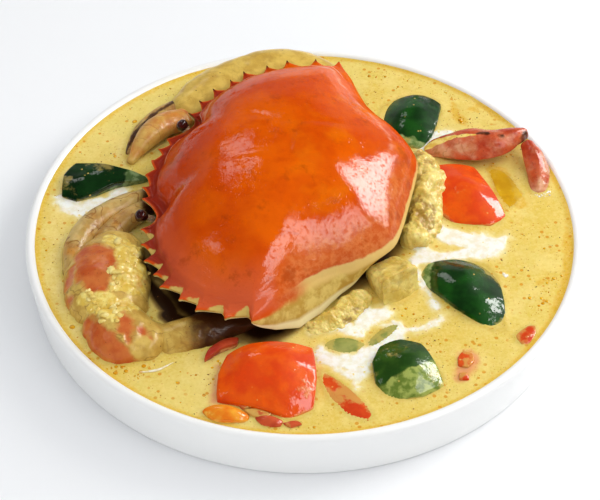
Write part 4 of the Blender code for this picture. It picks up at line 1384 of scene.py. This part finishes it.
# %% The chopped body under the shell
BODY_REACH = 0.7
body_edge = SHELL_POLE + (edge - SHELL_POLE) * BODY_REACH
ragged = 1.6 * layers(np.column_stack([body_edge, 0 * edge[:, 0]]), 9, 120, 4)
body_low = box_of("crab_body")[0][2]
body_rings = []
BODY_SIDE = (
    (0.05, 0.0), (0.4, 0.0), (0.75, 0.0), (0.88, 0.8), (0.95, 3.0), (0.965, 6.0), (0.97, 9.0),
    (0.97, 11.5), (0.97, 13.5),
)
BODY_TOP = (0.7, 0.62, 0.54, 0.4, 0.2, 0.05)
BODY_GAP = 1.5
for share, level in BODY_SIDE:
    flat = SHELL_POLE + (body_edge - SHELL_POLE) * share - inward * (ragged * share)[:, None]
    ring = shell_to_dish(flat, np.zeros(len(edge))) + shell_place
    ring[:, 2] = body_low + level
    body_rings.append(ring)
for share in BODY_TOP:
    flat = SHELL_POLE + (edge - SHELL_POLE) * share + inward * (SHELL_WALL + BODY_GAP)
    height = shell_height(edge, np.full(len(edge), share)) - SHELL_WALL - BODY_GAP
    body_rings.append(shell_to_dish(flat, height) + shell_place)
body_rings = np.array(body_rings)
# Darker patches by noise through the crevice mask, and painted shade in under the shell.
body_bumps = ramp(layers(body_rings, 6, 121, 3), 0, 1)
body_dark = ramp(under_shell(body_rings), 2.0, 10.0)
skin(
    "chopped_body", body_rings, meat.material, "crab_meat", ["crab_body"], crevice=body_bumps,
    dark=body_dark,
)
# %% [markdown]
# ## Pepper squares
#
# The squares of pepper are cut from thick walls: glossy skin on top, paler wet flesh at the
# cut sides. The skin keeps a slight swell, so the squares curve over the sauce and most of
# each is buried. One mask says where the skin ends and the cut side starts.

# %% Pepper finishes
def pepper_finish(name, skin_a, skin_b, flesh_a, flesh_b, film, cut_low=0.30):
    """Glossy skin, paler flesh past the shoulder, and a broken film of sauce over the lot."""
    made = Finish(
        name, Roughness=0.5, Specular_IOR_Level=0.1, Coat_Weight=1.0, Coat_Roughness=0.06, Coat_IOR=1.6
    )
    peel = made.mottled(skin_a, skin_b, 9, 3, 0.36, 0.66)
    dots = made.step(made.cells(1.1), 0.25, 0.1) * 0.12
    peel = peel.painted(dots, *skin_b)
    inner = made.mottled(flesh_a, flesh_b, 3, 4, 0.4, 0.62)
    side = made.mask("cut") + made.noise(3, 3) * 0.3
    colour = made.blend(made.step(side, cut_low, cut_low + 0.2), peel, inner)
    smear = made.mask("smear") + made.noise(2.5, 4) * 1.6
    smear = made.step(smear, 1.25, 1.75)
    colour = colour.painted(smear * film, 212, 184, 92)
    crumb = made.dots(3.4, 0.14, 0.1, (9, 0.5, 0.6))
    colour = colour.painted(crumb * 0.7, 222, 186, 92)
    made.feed("Base Color", colour)
    dry = made.step(made.noise(2.2, 5, 0.7) + made.noise(13, 2) * 0.8, 0.92, 1.02)
    made.feed("Coat Weight", made.step(dry, 1.0, -0.2) * 0.85)
    blister = made.dots(1.5, 0.5, 0.0, (9, 0.5, 0.6))
    made.relief((made.noise(3, 3), 0.10), (made.noise(1.0, 3), 0.022), (blister, 0.05), (smear, 0.10))
    return made.material


green_skin = pepper_finish("green_pepper", (5, 46, 4), (18, 76, 10), (96, 126, 60), (150, 170, 110), 0.5)
dark_green = pepper_finish(
    "dark_green_pepper", (1, 32, 2), (5, 48, 5), (66, 90, 44), (116, 136, 88), 0.35
)
olive_skin = pepper_finish(
    "olive_pepper", (30, 66, 10), (52, 90, 20), (104, 126, 44), (160, 172, 84), 0.6, 0.22
)
slice_flesh = pepper_finish(
    "pepper_slice", (112, 128, 56), (160, 162, 86), (96, 112, 44), (150, 152, 84), 0.5
)
red_skin = pepper_finish("red_pepper", (222, 64, 0), (234, 90, 0), (200, 52, 30), (216, 96, 64), 0.35)
red_soft = pepper_finish(
    "red_pepper_sunk", (206, 58, 8), (222, 84, 20), (212, 92, 40), (226, 124, 62), 0.55
)
orange_soft = pepper_finish(
    "soft_orange", (236, 120, 16), (240, 178, 44), (234, 140, 30), (242, 190, 80), 0.4
)
amber_onion = pepper_finish(
    "amber_onion", (198, 146, 2), (220, 176, 24), (206, 158, 16), (224, 186, 56), 0.25
)
broken_rind = pepper_finish(
    "broken_rind", (172, 44, 24), (206, 84, 44), (150, 60, 50), (224, 160, 100), 0.7
)

# %% Squares and small pieces
SQUARES = {
    "green_pepper_left": dict(
        outline=[
            (-93, 36), (-83, 34), (-71, 30), (-62, 27), (-66, 25), (-76, 22), (-84, 17), (-91, 14),
            (-97, 17), (-97, 28),
        ],
        top=26.0, thickness=6.0, dome=1.8, lean=(0.0, 0.08), material=dark_green, slot="green_pepper",
    ),
    "green_pepper_back": dict(
        outline=[(30, 62), (37, 77), (51, 80), (58, 75), (56, 63), (53, 53), (48, 46), (40, 49)],
        top=28.0, thickness=6.0, dome=4.6, material=green_skin, slot="green_pepper",
    ),
    "green_pepper_right": dict(
        outline=[
            (43, -26), (48, -20), (59, -17), (69, -19), (75, -25), (76, -40), (76, -57), (68, -53),
            (58, -45), (49, -35),
        ],
        top=28.5, thickness=6.0, dome=5.6, material=green_skin, slot="green_pepper",
    ),
    "green_pepper_front": dict(
        outline=[
            (25, -73), (28, -66), (36, -63), (44, -65), (49, -74), (52, -83), (44, -88), (32, -90),
            (26, -82),
        ],
        top=28.5, thickness=6.0, dome=5.4, lean=(0.0, 0.12), material=olive_skin, slot="green_pepper",
    ),
    "green_slice_wide": dict(
        outline=[(6, -63), (13, -58.5), (22, -61.5), (22, -65), (14, -67.5)], top=21.8, thickness=5.0,
        dome=0.8, material=slice_flesh, slot="green_pepper",
    ),
    "green_slice_narrow": dict(
        outline=[(24.5, -65), (24.5, -59), (33, -52), (37, -52.5), (31, -60)], top=21.8, thickness=5.0,
        dome=0.8, material=slice_flesh, slot="green_pepper",
    ),
    "red_pepper_right": dict(
        outline=[(52, 33), (61, 34), (70, 33), (76, 18), (81, 6), (74, 1), (59, 3), (52, 11), (55, 22)],
        top=28.0, thickness=6.0, dome=4.0, lean=(0.0, 0.08), material=red_skin, slot="red_pepper",
    ),
    "red_pepper_front": dict(
        outline=[
            (-28, -72), (-20, -69), (-10, -67), (3, -68), (4.5, -83), (3, -95), (-5, -99), (-17, -95),
            (-31, -91), (-31, -80),
        ],
        top=30.5, thickness=7.0, dome=6.0, lean=(0.03, 0.16), material=red_skin, slot="red_pepper",
    ),
    "red_strip": dict(
        outline=[(5, -74), (9, -76), (17, -85), (24, -94), (26, -99), (20, -100), (13, -94), (7, -86)],
        top=21.8, thickness=5.0, dome=0.8, material=red_soft, slot="red_pepper",
    ),
    "red_scrap": dict(
        outline=[(79, -58), (84, -53.5), (87, -53), (87, -57), (84, -62), (81, -62)], top=22.0,
        thickness=4.5, dome=0.8, material=red_soft, slot="red_pepper",
    ),
    "orange_piece": dict(
        outline=[(-37, -95), (-33, -92.6), (-26, -93.2), (-20, -97), (-22, -101), (-32, -100.5)],
        top=25.6, thickness=6.5, dome=2.0, material=orange_soft, slot="onion",
    ),
    "broken_shell": dict(
        outline=[(-18.5, -97.5), (-12, -98.5), (-8, -100), (-9, -102.5), (-15, -102.5)], top=24.0,
        thickness=5.0, dome=2.5, material=broken_rind, slot="crab_shell",
    ),
    "shell_flake": dict(
        outline=[(-37, -71.5), (-35.5, -66), (-31, -61.5), (-25.5, -60.5), (-26, -63.5), (-31, -66.5)],
        top=24.5, thickness=4.5, dome=1.0, material=broken_rind, slot="crab_shell",
    ),
    "onion_piece": dict(
        outline=[(75, 35), (81, 33), (85, 27), (88, 18), (82, 11), (79, 16), (77, 24)], top=21.4,
        thickness=4.0, dome=0.4, material=amber_onion, slot="onion",
    ),
}
PLANES = {
    "green_pepper_front": (0.45, -0.9, -87.0, "cut"),
    "green_pepper_back": (-0.5, -0.9, 70.0, "cut"),
    "green_pepper_right": (-1.0, 0.2, 56.0, "cut"),
    "green_pepper_left": (1.0, 0.0, 74.0, "cut"),
    "red_pepper_right": (-0.6, -0.8, 40.5, "cut"),
    "red_strip": (0.8, 0.6, 41.2, "smear"),
    "orange_piece": (-0.3, -0.8, -86.5, "cut"),
}
SMALL_THICKNESS = 5.5


def square_piece(number, node, outline, top, thickness, dome, material, slot, lean=(0.0, 0.0)):
    """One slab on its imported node; past its plane, if it has one, it is cut flesh or sauced."""
    small = thickness < SMALL_THICKNESS
    shoulder, waves = (0.6, 0.15) if small else (0.9, 0.8)
    crisp = 0.15 if material in (slice_flesh, orange_soft) else 0.5 if small else 0.75
    rings, cut = slab(outline, top, thickness, dome, lean, 200, shoulder, waves, 200 + number, crisp)
    rings = seat(rings, node)
    rings[..., 2] += 0 if small else box_of(node)[1][2] - rings[..., 2].max()
    smear = noise(rings, 8, 230 + number) + ramp(rings[..., 2], SAUCE_LEVEL + 1.8, SAUCE_LEVEL)
    across, along, start, kind = PLANES.get(node, (0.0, 0.0, -1.0, "cut"))
    past = across * rings[..., 0] + along * rings[..., 1] + start + 1.5 * layers(rings, 6, 260, 3)
    part = ramp(past, 0.0, 4.0)
    cut = cut + 0.5 * part * (kind == "cut")
    smear = smear + 0.7 * part * (kind == "smear")
    skin(node + "_surface", rings, material, slot, [node], cut=cut, smear=smear)


for number, (node, piece) in enumerate(SQUARES.items()):
    square_piece(number, node, **piece)

# %% [markdown]
# ## Drops, grains and crumbs
#
# The sauce carries beads of spiced oil, grains of ground spice and crumbs of garlic, and
# froth gathers at the end of the leg. Each kind is one mesh of many copies of a small ball,
# squashed, turned and moved by arrays at once. A ball of a few dozen faces is enough at this
# size. The places are random with a fixed seed, thinned out where something stands in the
# sauce, and the places of the larger drops follow a few strokes.

# %% Copies of a small ball
def ball(rows=4, sides=7):
    """The points and triangles of a coarse ball of radius 1."""
    tilt = np.linspace(0, np.pi, rows + 2)[1:-1]
    turn_by = np.linspace(0, 2 * np.pi, sides, endpoint=False)
    rings = np.stack([
        np.outer(np.sin(tilt), np.cos(turn_by)),
        np.outer(np.sin(tilt), np.sin(turn_by)),
        np.repeat(np.cos(tilt)[:, None], sides, 1),
    ], -1)
    quads, fans = face_lists(rings)
    points = np.vstack([rings.reshape(-1, 3), [(0, 0, 1), (0, 0, -1)]])
    return points, np.vstack([quads[:, :3], quads[:, [0, 2, 3]], fans])


def scattered(name, places, radii, flatness, ragged, material, seed):
    """One piece made of many balls: each has its own size, height, dents and turn about Z."""
    points, triangles = ball()
    draw = np.random.default_rng(seed)
    count = len(places)
    sizes = radii[:, None] * (1 + ragged * draw.uniform(-0.5, 0.5, (count, 3)))
    sizes[:, 2] *= flatness
    dents = 1 + ragged * draw.uniform(-0.35, 0.35, (count, len(points), 1))
    angle = draw.uniform(0, 2 * np.pi, count)
    shapes = points[None] * dents * sizes[:, None, :]
    x = shapes[..., 0] * np.cos(angle)[:, None] - shapes[..., 1] * np.sin(angle)[:, None]
    y = shapes[..., 0] * np.sin(angle)[:, None] + shapes[..., 1] * np.cos(angle)[:, None]
    moved = np.stack([x, y, shapes[..., 2]], -1) + places[:, None, :]
    faces = (triangles[None] + (np.arange(count) * len(points))[:, None, None]).reshape(-1, 3)
    if volume(moved.reshape(-1, 3), faces) < 0:
        faces = faces[:, ::-1]
    print(f"{name}: {count} copies, {len(faces)} triangles")
    return finish_piece(new_object(name, moved.reshape(-1, 3), faces.tolist(), {}, material))


def on_sauce(count, seed, clear=1.2):
    """Random places on the open sauce, clear of the wall and of what stands in it."""
    draw = np.random.default_rng(seed)
    spread = draw.uniform(-1, 1, (count * 3, 2)) * wall_at_level
    places = np.column_stack([spread, np.full(len(spread), SAUCE_LEVEL)])
    open_sauce = np.hypot(*spread.T) < wall_at_level - 1.5
    open_sauce &= (nearest(places, standing) > clear) & (under_shell(places) < 0)
    return places[open_sauce][:count]


def along_strokes(strokes, count, seed):
    """Random places along some strokes, spread over the width of each."""
    draw = np.random.default_rng(seed)
    found = []
    for stroke in strokes:
        path = smooth(stroke, 60)[draw.integers(0, 60, count)]
        path[:, :2] += draw.normal(0, 0.5, (count, 2)) * path[:, 2:]
        found.append(np.column_stack([path[:, :2], np.full(count, SAUCE_LEVEL)]))
    return np.vstack(found)


# %% Oil beads and spice grains
def plain_finish(name, first, second, size, **settings):
    """A finish of two colours mixed by noise, for very small things."""
    made = Finish(name, **settings)
    made.feed("Base Color", made.mottled(first, second, size, 3, 0.4, 0.6))
    made.relief((made.noise(size / 4, 2), 0.02))
    return made.material


bead_oil = plain_finish("oil_bead", (212, 146, 8), (228, 176, 30), 6, Roughness=0.15, Coat_Weight=0.6)
DROP_STROKES = [
    [(-34, -67, 3.0), (-31, -76, 4.0), (-26, -86, 3.5), (-22, -90, 2.0)],
    [(60, 74, 2.0), (66, 66, 3.0), (70, 60, 2.0)],
    [(30, 97, 3.0), (52, 88, 4.0), (66, 78, 4.0)],
    [(97, -24, 3.0), (93, -34, 4.0), (88, -46, 4.0)],
    [(-92, -36, 2.0), (-88, -54, 3.0), (-78, -68, 3.0), (-60, -80, 3.0)],
    [(40, -44, 4.0), (48, -60, 4.0), (44, -70, 4.0)],
]
draw = np.random.default_rng(300)
drops = np.vstack([along_strokes(DROP_STROKES, 34, 301), on_sauce(260, 302)])
drops = drops[
    (nearest(drops, standing) > 0.9) & (np.hypot(drops[:, 0], drops[:, 1]) < wall_at_level - 1.0)
]
drop_size = (0.22 + 0.62 * draw.random(len(drops)) ** 5) * np.where(drops[:, 0] < -20, 1.5, 1.0)
scattered("oil_beads", drops + [0, 0, 0.05], drop_size, 0.28, 0.15, bead_oil, 303)

spice = plain_finish("spice_grain", (176, 116, 20), (120, 74, 20), 3, Roughness=0.5)
grains = on_sauce(900, 310, 0.5)
grain_size = 0.10 + 0.20 * draw.random(len(grains)) ** 3
scattered("spice_grains", grains + [0, 0, 0.10], grain_size, 0.7, 0.7, spice, 311)

# %% [markdown]
# ## Garlic and froth
#
# Crumbs of garlic lie on the claws, so their heights are found by dropping a ray on the
# claws' own surfaces. Froth and pale crumbs float on the sauce.

# %% What lies on the claws
from mathutils.bvhtree import BVHTree


def dropped_on(names, places):
    """Moves places down onto the highest of some pieces, and leaves out those that miss them."""
    view = bpy.context.evaluated_depsgraph_get()
    trees = [BVHTree.FromObject(bpy.data.objects[name], view) for name in names]
    landed = []
    for x, y in places:
        hits = [tree.ray_cast(Vector((x, y, 90)) * MM, Vector((0, 0, -1)))[0] for tree in trees]
        heights = [hit.z / MM for hit in hits if hit]
        if heights:
            landed.append((x, y, max(heights)))
    return np.array(landed)


garlic_crumb = plain_finish(
    "garlic_crumb", (228, 194, 88), (244, 224, 140), 4, Roughness=0.5, Coat_Weight=0.15
)
CLAW_NAMES = ["near_claw_palm_surface", "near_claw_wrist_surface"]
crumbs = dropped_on(CLAW_NAMES, along_strokes(GARLIC_SPOTS, 13, 320)[:, :2])
crumb_size = 0.5 + 1.5 * draw.random(len(crumbs)) ** 2
scattered("garlic_crumbs", crumbs, crumb_size, 0.45, 0.9, garlic_crumb, 321)

froth = plain_finish("froth", (240, 232, 206), (250, 248, 240), 2, Roughness=0.2, Coat_Weight=0.6)
FROTH_STROKES = [
    [(93, 20, 1.2), (96.5, 18.5, 1.4), (99, 21, 1.0)],
    [(77.2, -25.4, 0.7), (78.0, -26.4, 0.7)],
    [(-91, -42.4, 0.3), (-88.5, -45.8, 0.3), (-85.2, -48.6, 0.2)],
    [(45, 44, 1.0), (50, 50, 1.2), (54, 56, 1.0)],
]
foam = along_strokes(FROTH_STROKES, 40, 330)
foam_size = 0.16 + 0.34 * draw.random(len(foam)) ** 2
scattered("froth", foam + [0, 0, 0.15], foam_size, 0.7, 0.3, froth, 331)

# %% [markdown]
# ## Sunken dice, scraps and bright lines
#
# Two small red dice show through the sauce on the right, their colour spread into it. A few
# dark red scraps lie by the front pepper. Where the sauce creeps up the near claw, thin pale
# tubes along its edge are painted highlights, standing in for the reflection on its meniscus.

# %% Small scraps
SCRAPS = {
    "red_die_large": (
        [(57, -69), (59, -66), (62.5, -67), (63, -71), (60.5, -74), (57, -73)],
        21.6,
        red_soft,
        "red_pepper",
    ),
    "red_die_small": ([(57, -77), (60, -76.5), (60.5, -80), (57, -80)], 21.5, red_soft, "red_pepper"),
    "rind_scrap_wide": (
        [(-22, -95.5), (-18, -94.5), (-12, -97), (-14, -99), (-19, -98)],
        22.6,
        broken_rind,
        "crab_shell",
    ),
    "rind_scrap_left": (
        [(-24, -93), (-21, -91.5), (-19, -93.5), (-22, -95)], 22.4, broken_rind, "crab_shell"
    ),
    "rind_scrap_right": (
        [(-8, -101), (-3, -100), (-1, -101.5), (-5, -103)], 21.8, broken_rind, "crab_shell"
    ),
}
for number, (name, (outline, top, material, slot)) in enumerate(SCRAPS.items()):
    rings, cut = slab(outline, top, 2.6, 0.4, (0.0, 0.0), 90, 0.5, 0.35, 340 + number, 0.6)
    smear = 0.6 + 0.8 * noise(rings, 3, 350 + number)
    skin(name, rings, material, slot, cut=cut, smear=smear)

# Painted highlights: thin pale tubes along the sauce's edge at the near claw, for the reflection on its
# meniscus.
meniscus_highlight_finish = plain_finish(
    "painted_meniscus_highlight", (238, 222, 168), (250, 244, 222), 3, Roughness=0.25, Coat_Weight=0.5
)
MENISCUS_HIGHLIGHT_LINES = [
    [(-90.9, -41.4, 20.7), (-88.4, -45.4, 20.8), (-85.2, -48.6, 20.7)],
    [(-79.6, -62.5, 20.7), (-76.0, -67.6, 20.9), (-70.7, -72.2, 20.7)],
    [(-61.0, -76.2, 20.6), (-54.5, -75.2, 20.8), (-48.8, -71.4, 20.6)],
]
for number, path in enumerate(MENISCUS_HIGHLIGHT_LINES):
    skin(
        f"dried_edge_{number + 1}",
        limb(path, [0.15, 0.5, 0.15], [0.15, 0.45, 0.15], 60, 16),
        meniscus_highlight_finish,
        "curry_sauce",
    )

# %% [markdown]
# ## Floor, light and camera
#
# The dish stands on a plain pale floor. A large soft light above and behind on the right
# gives the wet shell its one crisp reflection, and a pale surround fills the shadows. The
# camera looks down at half a right angle through a long lens, which keeps the round dish from
# looking stretched. The shell is so glossy that a lamp's mirror image and its light need
# different strengths, so the two large windows are each a pair of lamps in the same place.

# %% Floor
FLOOR_HALF = 1600.0
floor_mesh = bpy.data.meshes.new("floor")
corners = FLOOR_HALF * MM * np.array([(-1, -1, 0), (1, -1, 0), (1, 1, 0), (-1, 1, 0)])
floor_mesh.from_pydata(corners.tolist(), [], [(0, 1, 2, 3)])
floor = bpy.data.objects.new("floor", floor_mesh)
bpy.context.scene.collection.objects.link(floor)
paper = Finish("pale_floor", Roughness=0.6)
paper.feed("Base Color", paper.blend(paper.noise(300, 1), rgb(242, 244, 247), rgb(245, 246, 248)))
floor_mesh.materials.append(paper.material)


# %% Lights
def softbox(name, azimuth, elevation, width, height, radiance, colour, mirrored=True, shining=True):
    """A rectangle facing the dish, its sizes in degrees as seen from there.

    Azimuth 0 is the camera's side and 180 the far side; the energy follows from the radiance.
    One that is only mirrored stands a little nearer than the one that shines in its place.
    """
    a, e = math.radians(azimuth), math.radians(elevation)
    toward = Vector((math.sin(a) * math.cos(e), -math.cos(a) * math.cos(e), math.sin(e)))
    lamp = bpy.data.lights.new(name, "AREA")
    lamp.shape = "RECTANGLE"
    distance = 1.0 if shining else 0.95
    lamp.size = 2 * distance * math.tan(math.radians(width / 2))
    lamp.size_y = 2 * distance * math.tan(math.radians(height / 2))
    lamp.energy = radiance * math.pi * lamp.size * lamp.size_y
    lamp.color = colour
    made = bpy.data.objects.new(name, lamp)
    made.location = toward * distance + Vector((0, 0, 30 * MM))
    made.rotation_euler = toward.to_track_quat("Z", "Y").to_euler()
    made.visible_glossy = mirrored
    made.visible_diffuse = shining
    bpy.context.scene.collection.objects.link(made)


softbox("key_window", 116, 32, 32, 42, 5.15, (1.0, 0.985, 0.955), mirrored=False)
softbox("key_mirrored", 114, 29, 29, 33, 14.0, (1.0, 0.99, 0.97), shining=False)
softbox("side_window", 62, 49, 34, 17, 2.2, (1.0, 0.98, 0.96), mirrored=False)
softbox("side_mirrored", 62, 49, 34, 17, 5.0, (1.0, 0.98, 0.96), shining=False)
softbox("left_window", -86, 43, 10, 8, 2.0, (0.97, 0.985, 1.0))
softbox("far_left_mirrored", -154, 40, 13, 12, 2.6, (1.0, 0.99, 0.97), shining=False)
softbox("overhead_fill", 0, 89, 80, 80, 1.0, (0.98, 0.99, 1.0), mirrored=False)
softbox("front_fill", -10, 22, 100, 36, 1.12, (0.98, 0.99, 1.0), mirrored=False)
softbox("far_fill", 180, 22, 100, 36, 0.35, (0.98, 0.99, 1.0), mirrored=False)
softbox("left_fill", -100, 34, 70, 44, 0.30, (0.98, 0.99, 1.0), mirrored=False)

# %% The surround, dark overhead and pale low down beyond the dish
world = bpy.data.worlds.new("surround")
world.use_nodes = True
tree = world.node_tree
direction = tree.nodes.new("ShaderNodeSeparateXYZ")
tree.links.new(tree.nodes.new("ShaderNodeTexCoord").outputs["Generated"], direction.inputs[0])


def fade(value, low, high, at_low, at_high):
    """A smooth change from one number to another as a direction's component goes low to high."""
    made = tree.nodes.new("ShaderNodeMapRange")
    made.interpolation_type = "SMOOTHSTEP"
    tree.links.new(value, made.inputs["Value"])
    ends = {"From Min": low, "From Max": high, "To Min": at_low, "To Max": at_high}
    for socket, number in ends.items():
        made.inputs[socket].default_value = number
    return made.outputs["Result"]


low_down = fade(direction.outputs["Z"], 0.28, 0.52, 1.0, 0.0)
beyond = fade(direction.outputs["Y"], 0.35, 0.95, 0.08, 0.31)
ring = tree.nodes.new("ShaderNodeMath")
ring.operation = "MULTIPLY_ADD"
tree.links.new(low_down, ring.inputs[0])
tree.links.new(beyond, ring.inputs[1])
ring.inputs[2].default_value = 0.03
background = tree.nodes["Background"]
background.inputs["Color"].default_value = (0.97, 0.985, 1.0, 1.0)
tree.links.new(ring.outputs[0], background.inputs["Strength"])
bpy.context.scene.world = world

# %% Camera
lens = bpy.data.cameras.new("camera")
lens.lens = 120.0
lens.sensor_width = 36.0
camera = bpy.data.objects.new("camera", lens)
camera.location = Vector((-1.7, -566.6, 574.9)) * MM
camera.rotation_euler = (math.radians(45.0), 0.0, 0.0)
bpy.context.scene.collection.objects.link(camera)
bpy.context.scene.camera = camera
bpy.context.scene.view_settings.view_transform = "Standard"
